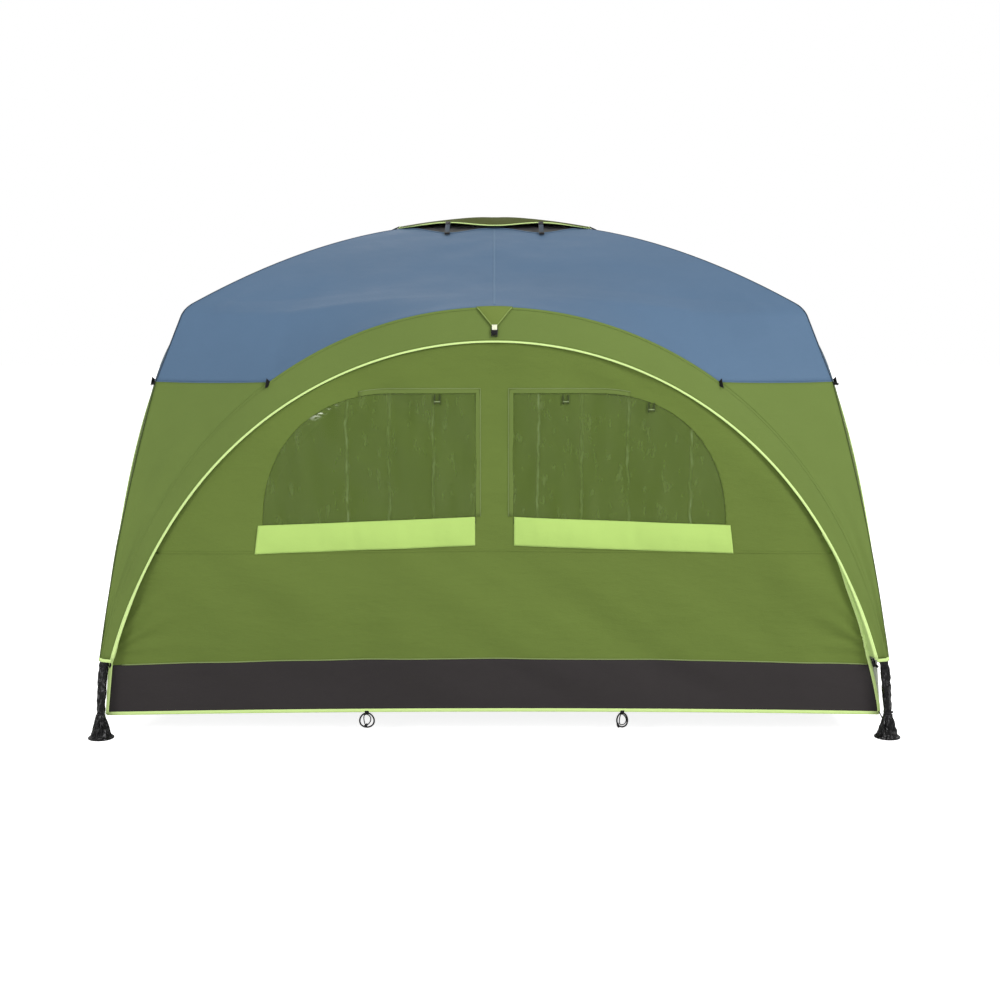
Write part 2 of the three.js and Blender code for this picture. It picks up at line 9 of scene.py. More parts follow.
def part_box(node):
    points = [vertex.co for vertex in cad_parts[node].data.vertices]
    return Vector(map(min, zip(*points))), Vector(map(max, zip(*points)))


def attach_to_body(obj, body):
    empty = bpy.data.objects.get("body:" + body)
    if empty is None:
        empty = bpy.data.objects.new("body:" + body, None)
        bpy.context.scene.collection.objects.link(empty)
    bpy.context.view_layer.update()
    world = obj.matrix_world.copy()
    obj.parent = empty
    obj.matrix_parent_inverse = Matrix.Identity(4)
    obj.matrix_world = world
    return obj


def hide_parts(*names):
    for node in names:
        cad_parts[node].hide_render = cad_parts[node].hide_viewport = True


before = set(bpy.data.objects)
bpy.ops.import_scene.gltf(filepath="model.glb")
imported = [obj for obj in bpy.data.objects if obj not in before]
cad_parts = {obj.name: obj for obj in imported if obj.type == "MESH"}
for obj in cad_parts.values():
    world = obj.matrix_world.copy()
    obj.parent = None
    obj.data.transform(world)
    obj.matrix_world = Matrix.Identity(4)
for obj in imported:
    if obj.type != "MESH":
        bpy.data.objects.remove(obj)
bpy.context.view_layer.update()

# ---------------------------------------------------------------- driving dimensions, in metres
# The canopy's lines follow the same curves as the CAD part.
ROOF_TOP, ROOF_FALL = 2.062, 0.294
FOOT_SPREAD = 1.497
LEG_BOW, LEG_BOW_POWER, LEG_STRAIGHT = 0.1413, 1.486, 0.050
ELBOW_LEAN = 0.333
SHOULDER_U, SHOULDER_TURN, SHOULDER_Z = 1.180, 0.027, 1.603
BEND_START, BEND_END = 0.72, 0.84
SEAM_Z, SEAM_SAG = 1.350, 0.004
CANOPY_HEM = 0.300
ARCH_HALF, ARCH_TOP, ARCH_TOE, ARCH_TOE_Z = 1.455, 1.500, 0.055, 0.900
ARCH_PLANE, ARCH_SPLAY = 1.455, 0.055
BAND_HALF, BAND_TOP = 1.512, 1.630
BAND_PLANE, BAND_SPLAY, BAND_CURL = 1.418, 0.117, 0.014
SPLAY_Z, SPLAY_POWER = 1.200, 1.38
FLARE_START, FLARE_END_SLOPE = 0.900, -0.35
POLE_DEPTH = 0.021
FABRIC_OUT = POLE_DEPTH / math.sqrt(2)
VENT_HALF, VENT_SCALLOP, VENT_FALL = 0.400, 0.115, 1.6
HOOD_HALF, HOOD_TOP = 0.425, 2.100
RIM_RISE, RIM_LOBE, RIM_DROP = 0.017, 0.013, 0.014
PROP_X, PROP_OUT = 0.205, 0.565
V_HALF, V_TIP = 0.069, 0.56
WALL_PLANE = 1.448
WALL_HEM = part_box("front_wall")[0][2]
WALL_INSIDE, WALL_TUCK, WALL_TUCK_Z = 0.006, 0.020, 0.550
WALL_TOP, WALL_LAP, WALL_LAP_Z = 1.503, 0.023, 1.100
WALL_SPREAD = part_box("front_wall")[1][0]
SIDE_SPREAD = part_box("screen_wall_left")[1][1]
SCREEN_RELIEF = 0.35
HEM_FLARE, HEM_NIP, OPEN_FLARE = 0.021, 0.005, 0.45
SKIRT_TOP, SKIRT_DROP = 0.290, 0.023
CROSS_SEAM_Z = 0.712
OPEN_FLAP_Z = (0.305, 0.760)
CORNER_NET_X, CORNER_NET_Z = 1.428, (0.128, 0.335)
DOOR_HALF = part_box("screen_door_left")[1][1] + 0.003
DOOR_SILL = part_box("screen_door_left")[0][2] - 0.003
DOOR_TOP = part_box("screen_door_left")[1][2] + 0.003
DOOR_SPRING, DOOR_BORDER, DOOR_GAP = 1.000, 0.045, 0.004
WINDOW_INNER, WINDOW_MIDDLE, WINDOW_WIDTH = 0.071, 0.380, 0.496
WINDOW_SILL, WINDOW_HEIGHT, WINDOW_POWER = 0.812, 0.495, 2 / 2.2
FILM_CREASES = [-0.556, -0.397, -0.232, 0.165, 0.330, 0.505, 0.742]
# Where the painted glints sit on the left window's vinyl.
GLINT_X, GLINT_REACH, GLINT_SLOPE, GLINT_RISE, GLINT_WIDTH = -0.636, 0.075, 0.61, 1.636, 0.027
STRIP_END_LOW, STRIP_END_HIGH = 0.9067, 0.8935
STRIP_INNER_Z, STRIP_OUTER_Z = (0.730, 0.840), (0.701, 0.809)
TOGGLES = {"left": (-0.215, 1.292), "right_inner": (0.268, 1.292), "right_outer": (0.590, 1.262)}
POLE_FROM, POLE_TO, ELBOW_FROM = 0.034, 0.66, 0.60
ROOF_POLE_R, ELBOW_R, LEG_R = 0.0055, 0.0095, 0.0125
LEG_SLEEVE_FROM, LEG_TOP, LEG_END = 0.97, 1.290, 0.024
HUB_LOW, HUB_R, SOCKET_R = 0.002, 0.046, 0.012
BUCKLE_MOUTH = 0.80
BUCKLE_WIDTH, BUCKLE_DEPTH, BUCKLE_HEIGHT, BUCKLE_WALL = 0.025, 0.008, 0.014, 0.0016
RING_R, RING_WIRE, RING_X = 0.0275, 0.0031, 0.49
FOOT_R, FOOT_H, FOOT_NECK, FOOT_RIM, FOOT_STEP, FOOT_BORE = 0.049, 0.092, 0.020, 0.007, 0.009, 0.020
SLEEVE_TOP = 0.330
CLIP_PLACE = (1.446, -1.466, 0.283)
CLOTH = 0.0012
CLOTH_PITCH, NET_PITCH, TAPE_PITCH = 0.0016, 0.0018, 0.0022
SIDES = ["front", "right", "rear", "left"]
CORNERS = ["front_right", "rear_right", "rear_left", "front_left"]
HANDS = ((-1, "left"), (1, "right"))
TURNS = [Matrix.Rotation(k * math.pi / 2, 4, "Z") for k in range(4)]
BODY = "shelter"
FRONT = (0, -1, 0)
# Studio: place, height looked at, size, power and colour of each light, then the camera.
LIGHTS = {"key": ((5.5, -6.5, 5.5), 1.0, 3.0, 430, (1.0, 0.99, 0.97)),
          "fill": ((-5.0, -7.5, 3.0), 1.0, 2.5, 150, (1, 1, 1)),
          "back": ((-3.0, 6.5, 6.0), 1.2, 5.0, 170, (1, 1, 1))}
FLOOR_REACH, FLOOR_GLOW = 300.0, 0.86
CAMERA_PLACE, CAMERA_DOWN, CAMERA_TURN = (0.0, -6.67, 1.432), 5.76, -0.227
CAMERA_LENS, CAMERA_SENSOR = 50.0, 36.0


def lerp(a, b, f):
    return a + (b - a) * f


def smoothstep(x):
    x = min(1.0, max(0.0, x))
    return x * x * (3 - 2 * x)


def span(a, b, count):
    return [lerp(a, b, i / count) for i in range(count + 1)]


def circle(count):
    return [2 * math.pi * i / count for i in range(count)]


def value_noise(seed, size=64):
    """A smooth noise function of two coordinates, from -1 to 1, the same every run."""
    table = np.random.RandomState(seed).uniform(-1, 1, (size, size))

    def sample(x, y):
        i, j = math.floor(x), math.floor(y)
        fx, fy = smoothstep(x - i), smoothstep(y - j)
        a, b = table[i % size, j % size], table[(i + 1) % size, j % size]
        c, d = table[i % size, (j + 1) % size], table[(i + 1) % size, (j + 1) % size]
        return lerp(lerp(a, b, fx), lerp(c, d, fx), fy)

    return sample


RIPPLE, DRIFT, BILLOW, CREASE, PLEAT = (value_noise(seed) for seed in (11, 23, 37, 51, 71))


# ---------------------------------------------------------------- the canopy's lines, front side
def roof_z(half_width):
    return ROOF_TOP - ROOF_FALL * half_width**2


def leg_u(z):
    bowed = max(0.0, min(z, SEAM_Z) - LEG_STRAIGHT)
    return FOOT_SPREAD - LEG_BOW * bowed**LEG_BOW_POWER - ELBOW_LEAN * max(0.0, z - SEAM_Z)


def leg_points(start, end, count):
    return [Vector((leg_u(z), -leg_u(z), z)) for z in span(start, end, count)]


def ridge(s, start=VENT_HALF):
    """Half-width and height of the fabric's ridge, from the vent (0) over the shoulder to the seam (1)."""
    if s < BEND_START:
        u = lerp(start, SHOULDER_U, s / BEND_START)
        return u, roof_z(u)
    if s < BEND_END:
        f = (s - BEND_START) / (BEND_END - BEND_START)
        a = (SHOULDER_U, roof_z(SHOULDER_U))
        b = (SHOULDER_U + SHOULDER_TURN, roof_z(SHOULDER_U + SHOULDER_TURN))
        c = (leg_u(SHOULDER_Z) + FABRIC_OUT, SHOULDER_Z)
        return tuple((1 - f) ** 2 * p + 2 * f * (1 - f) * q + f * f * r for p, q, r in zip(a, b, c))
    z = lerp(SHOULDER_Z, SEAM_Z, (s - BEND_END) / (1 - BEND_END))
    return leg_u(z) + FABRIC_OUT, z


def splay(z):
    return max(0.0, 1 - z / SPLAY_Z) ** SPLAY_POWER


def band_depth(z):
    return BAND_PLANE + BAND_SPLAY * splay(z) - BAND_CURL * (z / BAND_TOP) ** 8


def band_seam(angle):
    z = BAND_TOP * math.sin(angle)
    return Vector((BAND_HALF * math.cos(angle), -band_depth(z), z))


def arch_x(z):
    toe = ARCH_TOE * max(0.0, 1 - z / ARCH_TOE_Z) ** 2
    return ARCH_HALF * math.sqrt(max(0.0, 1 - (z / ARCH_TOP) ** 2)) + toe


def arch_edge(angle):
    z = ARCH_TOP * math.sin(angle)
    return Vector((math.copysign(arch_x(z), math.cos(angle)), -(ARCH_PLANE + ARCH_SPLAY * splay(z)), z))


def lobe(x, half):
    """The vent's two raised lobes on each side: 0 at the ends and the middle."""
    return math.sin(math.pi * min(abs(x), half) / half) ** 2


TAB_ANGLE = math.asin(SEAM_Z / BAND_TOP)
TAB_X = band_seam(TAB_ANGLE).x


def roof_edge(x):
    """Lower edge of a roof panel: a corner seam, the top of the arch band, a corner seam."""
    side = abs(x)
    if side <= TAB_X:
        p = band_seam(math.acos(side / BAND_HALF))
        return Vector((x, p.y, p.z))
    corner = ridge(1)[0]
    f = (side - TAB_X) / (corner - TAB_X)
    return Vector((x, -lerp(band_depth(SEAM_Z), corner, f), SEAM_Z - SEAM_SAG * 4 * f * (1 - f)))


def middle_z(y):
    """Height of the roof along a panel's middle: the roof's curve, then a bend down to the arch band."""
    if y <= FLARE_START:
        return roof_z(y)
    width = band_depth(BAND_TOP) - FLARE_START
    f = (y - FLARE_START) / width
    slope = -2 * ROOF_FALL * FLARE_START
    return ((2 * f**3 - 3 * f**2 + 1) * roof_z(FLARE_START) + (f**3 - 2 * f**2 + f) * slope * width
            + (3 * f**2 - 2 * f**3) * BAND_TOP + (f**3 - f**2) * FLARE_END_SLOPE * width)


def roof_point(t, s):
    u, edge_z = ridge(s)
    middle_y = lerp(VENT_HALF, band_depth(BAND_TOP), s)
    x = t * u
    end = ridge(1)[0]
    low, corner, crown = roof_edge(t * end), roof_edge(end), roof_edge(0)
    blend = smoothstep((s - 0.45) / 0.55)
    plain = 1 - t * t
    wy = lerp(plain, (low.y - corner.y) / (crown.y - corner.y), blend)
    wz = lerp(plain, (low.z - corner.z) / (crown.z - corner.z), blend)
    y = lerp(u, middle_y, wy)
    z = lerp(edge_z, middle_z(middle_y), wz)
    scallop = VENT_SCALLOP * lobe(x, VENT_HALF) * (1 - s) ** 4
    return Vector((x, -(y + scallop), z + roof_z(y + scallop) - roof_z(y)))


def corner_point(q, v):
    f = abs(q)
    top = SEAM_Z - SEAM_SAG * 4 * f * (1 - f)
    z = lerp(CANOPY_HEM, top, v)
    u = leg_u(z) + FABRIC_OUT
    seam = band_seam(math.asin(z / BAND_TOP))
    along, out = lerp(u, seam.x, f), lerp(u, -seam.y, f)
    return Vector((along, -out, z)) if q < 0 else Vector((out, -along, z))


def band_point(t, w):
    a, b = math.asin(CANOPY_HEM / BAND_TOP), math.asin(CANOPY_HEM / ARCH_TOP)
    return band_seam(lerp(a, math.pi - a, t)).lerp(arch_edge(lerp(b, math.pi - b, t)), w)


# ---------------------------------------------------------------- mesh building
def link(name, mesh, material=None, smooth=True):
    obj = bpy.data.objects.new(name, mesh)
    bpy.context.scene.collection.objects.link(obj)
    if material:
        mesh.materials.append(material)
    if smooth:
        mesh.polygons.foreach_set("use_smooth", [True] * len(mesh.polygons))
    return obj


def distances(line):
    """How far each point lies along a line, and last the way back to its start."""
    return np.cumsum([0] + [(q - p).length for p, q in zip(line, line[1:] + line[:1])])


def grid(name, rows, material, close_u=False, close_v=False):
    """A sheet from rows of points, with a UV map in metres along and across."""
    count, width = len(rows), len(rows[0])
    faces = []
    for j in range(count if close_v else count - 1):
        for i in range(width if close_u else width - 1):
            low, high = j * width, (j + 1) % count * width
            after = (i + 1) % width
            faces.append((low + i, low + after, high + after, high + i))
    mesh = bpy.data.meshes.new(name)
    mesh.from_pydata([tuple(p) for row in rows for p in row], [], faces)
    along = distances(rows[count // 2])
    down = distances([row[width // 2] for row in rows])
    values = []
    for f in mesh.polygons:
        j, i = divmod(f.vertices[0], width)
        for corner in range(4):
            values += [along[i + (corner in (1, 2))], down[j + (corner in (2, 3))]]
    mesh.uv_layers.new(name="UVMap").data.foreach_set("uv", values)
    mesh.update()
    return link(name, mesh, material)


def clean(obj, distance=1e-5):
    """Merges doubled points, drops slivers and turns the faces one way."""
    bm = bmesh.new()
    bm.from_mesh(obj.data)
    bmesh.ops.remove_doubles(bm, verts=bm.verts, dist=distance)
    bmesh.ops.dissolve_degenerate(bm, edges=bm.edges, dist=1e-6)
    loose = [v for v in bm.verts if not v.link_faces]
    bmesh.ops.delete(bm, geom=loose, context="VERTS")
    bmesh.ops.recalc_face_normals(bm, faces=bm.faces)
    bm.to_mesh(obj.data)
    bm.free()
    return obj


def apply_modifiers(obj):
    dg = bpy.context.evaluated_depsgraph_get()
    mesh = bpy.data.meshes.new_from_object(obj.evaluated_get(dg), depsgraph=dg)
    old = obj.data
    obj.modifiers.clear()
    obj.data = mesh
    bpy.data.meshes.remove(old)
    return obj


def thicken(obj, thickness=CLOTH, offset=-1.0):
    m = obj.modifiers.new("Cloth thickness", "SOLIDIFY")
    m.thickness, m.offset, m.use_even_offset = thickness, offset, False
    return apply_modifiers(obj)


def sheet(name, rows, material, thickness=CLOTH, offset=-1.0, weld=1e-5, close_u=False):
    """A piece of cloth, net or film with real thickness."""
    return thicken(clean(grid(name, rows, material, close_u), weld), thickness, offset)


def merge(name, objects):
    """Joins pieces of one part into one object, keeping their materials."""
    bm = bmesh.new()
    mesh = bpy.data.meshes.new(name)
    for obj in objects:
        slots = []
        for m in obj.data.materials:
            if m.name not in mesh.materials:
                mesh.materials.append(m)
            slots.append(mesh.materials.find(m.name))
        before = len(bm.faces)
        bm.from_mesh(obj.data)
        bm.faces.ensure_lookup_table()
        for f in bm.faces[before:]:
            f.material_index = slots[f.material_index]
        bpy.data.objects.remove(obj)
    bm.to_mesh(mesh)
    bm.free()
    return link(name, mesh, smooth=False)


def place(obj, matrix):
    obj.data.transform(matrix)
    obj.data.update()
    return obj


def attach(obj, turn=None, node=(), body=BODY):
    """Turns a piece to its side and puts it on its body; node names the CAD parts that it stands for."""
    if turn:
        place(obj, turn)
    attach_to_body(obj, body)
    if node:
        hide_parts(*([node] if isinstance(node, str) else node))


def direction(points, i):
    return (points[min(len(points) - 1, i + 1)] - points[max(0, i - 1)]).normalized()


def rings_along(points, radius, sides):
    """Circles round a line without twist; radius is a function of the angle and the share along it."""
    n = direction(points, 0).orthogonal().normalized()
    rings = []
    for i, p in enumerate(points):
        t = direction(points, i)
        n = (n - t * n.dot(t)).normalized()
        b = t.cross(n)
        share = i / (len(points) - 1)
        rings.append([p + (n * math.cos(a) + b * math.sin(a)) * radius(a, share) for a in circle(sides)])
    return rings


def cap_ends(obj, count, size):
    """Closes the first and the last ring of a skin."""
    bm = bmesh.new()
    bm.from_mesh(obj.data)
    bm.verts.ensure_lookup_table()
    bm.faces.new([bm.verts[i] for i in range(size)][::-1])
    bm.faces.new([bm.verts[(count - 1) * size + i] for i in range(size)])
    bmesh.ops.recalc_face_normals(bm, faces=bm.faces)
    bm.to_mesh(obj.data)
    bm.free()
    return obj


def tube(name, points, radius, material, sides=12, closed=False):
    """A round cord or pipe along a line."""
    rings = rings_along(points, lambda a, share: radius, sides)
    obj = grid(name, rings, material, close_u=True, close_v=closed)
    return obj if closed else cap_ends(obj, len(rings), sides)


def strap(name, points, width, thickness, normal, material, crown=0.0):
    """A flat band along a line: webbing, tape or binding. normal is its face's direction, or one per point.
    width may be a function of the share along it; crown domes its face."""
    normals = normal if isinstance(normal, list) else [Vector(normal)] * len(points)
    rows = []
    for i, p in enumerate(points):
        t = direction(points, i)
        n = (normals[i] - t * normals[i].dot(t)).normalized()
        w = (width(i / (len(points) - 1)) if callable(width) else width) / 2
        h = thickness / 2
        right = [(w, h * 0.6), (w * 0.8, h), (w * 0.4, h + crown * 0.8)]
        section = [(-w, -h), (w, -h)] + right + [(0, h + crown)] + [(-x, y) for x, y in right[::-1]]
        rows.append([p + t.cross(n) * x + n * y for x, y in section])
    return cap_ends(grid(name, rows, material, close_u=True), len(rows), len(rows[0]))


def trim(name, points, width, thickness, normal, material, crown=0.0, turn=None):
    attach(strap(name, points, width, thickness, normal, material, crown), turn)


def block(size, centre, material, bevel=0.001, segments=3):
    """A box with rounded edges, for small moulded parts."""
    bm = bmesh.new()
    bmesh.ops.create_cube(bm, size=1)
    bmesh.ops.scale(bm, vec=size, verts=bm.verts)
    bmesh.ops.bevel(bm, geom=bm.edges[:], offset=bevel, segments=segments, profile=0.5, affect="EDGES")
    bmesh.ops.translate(bm, vec=centre, verts=bm.verts)
    mesh = bpy.data.meshes.new("block")
    bm.to_mesh(mesh)
    bm.free()
    return link("block", mesh, material)


def lathe(name, outline, material, segments=64, wobble=lambda a, z: 1):
    """A turned shape about Z from (radius, height) points that start and end on the axis."""
    rings = []
    for r, z in outline:
        ring = []
        for a in circle(segments):
            rr = r * wobble(a, z)
            ring.append(Vector((rr * math.cos(a), rr * math.sin(a), z)))
        rings.append(ring)
    return clean(grid(name, rings, material, close_u=True))


def cut_out(obj, tools):
    for tool in tools:
        m = obj.modifiers.new("Opening", "BOOLEAN")
        m.operation, m.object, m.solver = "DIFFERENCE", tool, "EXACT"
        apply_modifiers(obj)
        bpy.data.objects.remove(tool)
    return obj


def prism(outline, y0, y1):
    """A solid from an (x, z) outline between two planes of y, used to cut openings."""
    n = len(outline)
    verts = [(x, y0, z) for x, z in outline] + [(x, y1, z) for x, z in outline]
    faces = [tuple(range(n))[::-1], tuple(range(n, 2 * n))]
    faces += [(i, (i + 1) % n, n + (i + 1) % n, n + i) for i in range(n)]
    mesh = bpy.data.meshes.new("cutter")
    mesh.from_pydata(verts, [], faces)
    return clean(link("cutter", mesh, smooth=False))


# ---------------------------------------------------------------- materials
def node(nt, kind, inputs, **settings):
    """A shader node. Each input is a number, a colour or another node's output."""
    n = nt.nodes.new("ShaderNode" + kind)
    for key, value in settings.items():
        setattr(n, key, value)
    for key, value in inputs.items():
        if isinstance(value, bpy.types.NodeSocket):
            nt.links.new(value, n.inputs[key])
        elif n.inputs[key].type == "RGBA":
            n.inputs[key].default_value = (*value, 1)
        else:
            n.inputs[key].default_value = value
    return n


def maths(nt, operation, *values):
    return node(nt, "Math", dict(enumerate(values)), operation=operation).outputs[0]


def noise(nt, scale, detail, vector, roughness=0.5):
    inputs = {"Scale": scale, "Detail": detail, "Roughness": roughness, "Vector": vector}
    return node(nt, "TexNoise", inputs).outputs["Fac"]


def mix_colour(nt, factor, a, b):
    return node(nt, "Mix", {0: factor, 6: a, 7: b}, data_type="RGBA").outputs[2]


def ramp(nt, value, low, high, to_low=0.0, to_high=1.0, **settings):
    return node(nt, "MapRange", {0: value, 1: low, 2: high, 3: to_low, 4: to_high}, **settings).outputs[0]


def bump(nt, height, strength, distance, **below):
    return node(nt, "Bump", {"Height": height, "Strength": strength, "Distance": distance, **below}).outputs[0]


def coordinates(nt, kind="Object"):
    return node(nt, "TexCoord", {}).outputs[kind]


def axes(nt, vector):
    return node(nt, "SeparateXYZ", {0: vector}).outputs


def stretched(nt, vector, scale, turn=(0.0, 0.0, 0.0)):
    return node(nt, "Mapping", {"Vector": vector, "Rotation": turn, "Scale": scale}).outputs[0]


def threads(nt, axis, pitch):
    return maths(nt, "SINE", maths(nt, "MULTIPLY", axis, 2 * math.pi / pitch))


def weave(nt, pitch):
    """Over-and-under threads in UV metres, from 0 to 1."""
    uv = axes(nt, coordinates(nt, "UV"))
    return maths(nt, "MULTIPLY_ADD", maths(nt, "MULTIPLY", threads(nt, uv[0], pitch), threads(nt, uv[1], pitch)),
                 0.5, 0.5)


def shade(colour, share):
    return tuple(min(1, c * share) for c in colour)


def new_material(name):
    mat = bpy.data.materials.new(name)
    mat.use_nodes = True
    mat.node_tree.nodes.clear()
    return mat, mat.node_tree


def surface(mat, colour, roughness, specular=None, **inputs):
    """Ends a material in a Principled surface; input names are given with _ for spaces."""
    nt = mat.node_tree
    values = {"Base Color": colour, "Roughness": roughness}
    values.update({key.replace("_", " "): value for key, value in inputs.items()})
    if specular is not None:
        values["Specular IOR Level"] = specular
    node(nt, "OutputMaterial", {0: node(nt, "BsdfPrincipled", values).outputs[0]})
    return mat


def cloth_material(name, colour, roughness=0.72, sheen=0.02, tone=0.10, crease=0.35, shine=0.10):
    """Coated polyester: woven threads, blotches of tone, soft handling creases and packing folds."""
    mat, nt = new_material(name)
    where = coordinates(nt)
    cloud, fleck = noise(nt, 9.0, 4.0, where), noise(nt, 420.0, 2.0, where)
    height = weave(nt, CLOTH_PITCH)
    base = mix_colour(nt, noise(nt, 1.7, 3.0, where), shade(colour, 1 - tone), shade(colour, 1 + tone))
    for mask, strength, share in ((cloud, 0.18, 0.82), (height, 0.10, 0.7), (fleck, 0.10, 1.6)):
        base = mix_colour(nt, maths(nt, "MULTIPLY", mask, strength), base, shade(colour, share))
    folds = noise(nt, 6.0, 5.0, stretched(nt, where, (1.0, 1.0, 2.4)), 0.55)
    normal = bump(nt, height, 0.35, CLOTH_PITCH * 0.25, Normal=bump(nt, folds, crease, 0.009))
    return surface(mat, base, maths(nt, "MULTIPLY_ADD", cloud, 0.16, roughness - 0.08), shine, Normal=normal,
                   Sheen_Weight=sheen, Sheen_Roughness=0.45)


def net_material(name, colour, opacity):
    """Insect mesh: fine threads with open holes. Opacity is the share of it that is thread."""
    mat, nt = new_material(name)
    height = weave(nt, NET_PITCH)
    base = mix_colour(nt, noise(nt, 5.0, 3.0, coordinates(nt)), shade(colour, 0.85), shade(colour, 1.1))
    return surface(mat, base, 0.7, Alpha=maths(nt, "MULTIPLY_ADD", height, 0.30, opacity - 0.15), Sheen_Weight=0.2,
                   Normal=bump(nt, height, 0.4, 0.0004))


def plastic_material(name, colour, roughness=0.38, scuff=0.12):
    mat, nt = new_material(name)
    where = coordinates(nt)
    cloud = noise(nt, 30.0, 4.0, where)
    worn = tuple(min(1, c * (1 + 3 * scuff) + scuff * 0.05) for c in colour)
    rough = maths(nt, "MULTIPLY_ADD", cloud, 0.22, roughness - 0.1)
    return surface(mat, mix_colour(nt, cloud, colour, worn), rough, 0.28,
                   Normal=bump(nt, noise(nt, 900.0, 2.0, where), 0.25, 0.0002))


def metal_material(name, colour, roughness=0.3, metallic=0.0, coat=0.5):
    mat, nt = new_material(name)
    where = coordinates(nt)
    drawn = noise(nt, 1.0, 3.0, stretched(nt, where, (60.0, 60.0, 2.0)))
    return surface(mat, mix_colour(nt, drawn, colour, shade(colour, 1.5)),
                   maths(nt, "MULTIPLY_ADD", drawn, 0.18, roughness - 0.09),
                   Normal=bump(nt, noise(nt, 260.0, 2.0, where), 0.2, 0.0003), Metallic=metallic, Coat_Weight=coat,
                   Coat_Roughness=0.15)


def webbing_material(name, colour):
    """Ribbed tape: raised ribs across its width with a chevron of threads."""
    mat, nt = new_material(name)
    uv = axes(nt, coordinates(nt, "UV"))
    ribs, cords = threads(nt, uv[1], TAPE_PITCH), threads(nt, uv[0], TAPE_PITCH * 1.6)
    height = maths(nt, "MULTIPLY_ADD", maths(nt, "ADD", ribs, cords), 0.25, 0.5)
    return surface(mat, mix_colour(nt, height, shade(colour, 0.72), shade(colour, 1.15)), 0.55, 0.15,
                   Normal=bump(nt, height, 0.5, 0.0004), Sheen_Weight=0.05)


def crumple_highlight_material(name, colour, crest_highlight, roughness):
    """Thin glossy black skin with long crumples; the lighter colour on their crests is a painted highlight."""
    mat, nt = new_material(name)
    folds = noise(nt, 1.0, 2.0, stretched(nt, coordinates(nt), (120.0, 120.0, 34.0)))
    # Painted highlight: lighter colour where the crumple noise crests.
    return surface(mat, mix_colour(nt, ramp(nt, folds, 0.60, 0.70), colour, crest_highlight), roughness, 0.26,
                   Normal=bump(nt, folds, 0.8, 0.006))


def band_mask(nt, value, centre, reach, peak=1.0):
    """The peak where a value is at the centre, falling to 0 at the reach."""
    off = maths(nt, "ABSOLUTE", maths(nt, "SUBTRACT", value, centre))
    return ramp(nt, off, 0.0, reach, peak, 0.0, interpolation_type="SMOOTHSTEP")


def painted_glints(nt, where, xyz):
    """Painted glints: small bright highlight marks where the vinyl is crumpled by its curved seam."""
    fine = ramp(nt, noise(nt, 58.0, 2.0, stretched(nt, where, (1.0, 1.0, 2.6), (0.0, 0.55, 0.0))), 0.52, 0.58)
    slope = maths(nt, "ADD", xyz[2], maths(nt, "MULTIPLY", xyz[0], -GLINT_SLOPE))
    along, across = band_mask(nt, xyz[0], GLINT_X, GLINT_REACH), band_mask(nt, slope, GLINT_RISE, GLINT_WIDTH)
    return maths(nt, "MULTIPLY", fine, maths(nt, "MULTIPLY", along, across))


def film_material(name, creases):
    """Clear flexible vinyl: glossy, green in its thickness, with painted diagonal highlight streaks and pale
    upright packing creases whose paleness is a painted highlight.
    """
    mat, nt = new_material(name)
    where = coordinates(nt)
    xyz = axes(nt, where)
    waves = noise(nt, 2.2, 1.0, stretched(nt, where, (9.0, 1.0, 1.6)))
    across = maths(nt, "ADD", xyz[0], maths(nt, "MULTIPLY_ADD", noise(nt, 9.0, 3.0, where), 0.034, -0.017))
    # Pale upright crease lines: the creases are in the vinyl, their paleness is a painted highlight along each
    # fold.
    lines = [band_mask(nt, across, x, 0.0065, (0.52, 0.24, 0.34)[i % 3]) for i, x in enumerate(creases)]
    line = lines[0]
    for other in lines[1:]:
        line = maths(nt, "MAXIMUM", line, other)
    # Painted highlight streaks that run diagonally across the vinyl.
    highlight_streaks = noise(nt, 3.2, 3.0, stretched(nt, where, (16.0, 1.0, 5.0), (0.0, 0.7, 0.0)), 0.6)
    broken = ramp(nt, noise(nt, 26.0, 4.0, where), 0.38, 0.66, 0.15, 1.0)
    pale = maths(nt, "MAXIMUM", maths(nt, "MULTIPLY", line, broken), ramp(nt, highlight_streaks, 0.60, 0.82, 0.0, 0.22))
    tint = mix_colour(nt, waves, (0.092, 0.142, 0.020), (0.128, 0.185, 0.046))
    # Painted highlight: the crease lines and the streaks lighten the vinyl's colour and its opacity.
    tint = mix_colour(nt, maths(nt, "MULTIPLY", pale, 0.75), tint, (0.30, 0.38, 0.20))
    # Painted glints: bright highlight specks near the left window's curved seam.
    tint = mix_colour(nt, painted_glints(nt, where, xyz), tint, (0.85, 0.90, 0.75))
    return surface(mat, tint, 0.30, 0.22, Alpha=maths(nt, "MULTIPLY_ADD", pale, 0.25, 0.72),
                   Normal=bump(nt, waves, 0.25, 0.02))


BLUE = cloth_material("slate_blue_polyester", (0.088, 0.153, 0.246), roughness=0.62, shine=0.16)
ROOF_SEAM = cloth_material("roof_seam_polyester", (0.118, 0.190, 0.285), roughness=0.62)
GREEN = cloth_material("olive_green_polyester", (0.136, 0.195, 0.047), tone=0.14)
WALL_GREEN = cloth_material("wall_green_polyester", (0.127, 0.182, 0.038), crease=0.75)
TAB_GREEN = cloth_material("tab_green_polyester", (0.150, 0.205, 0.045))
HOOD_GREEN = cloth_material("hood_green_polyester", (0.062, 0.077, 0.007), shine=0.04)
CHARCOAL = cloth_material("charcoal_skirt_cloth", (0.038, 0.034, 0.035), 0.80, sheen=0.0, tone=0.14, shine=0.05)
LIME_CLOTH = cloth_material("lime_strip_cloth", (0.425, 0.615, 0.162), roughness=0.62, tone=0.05)
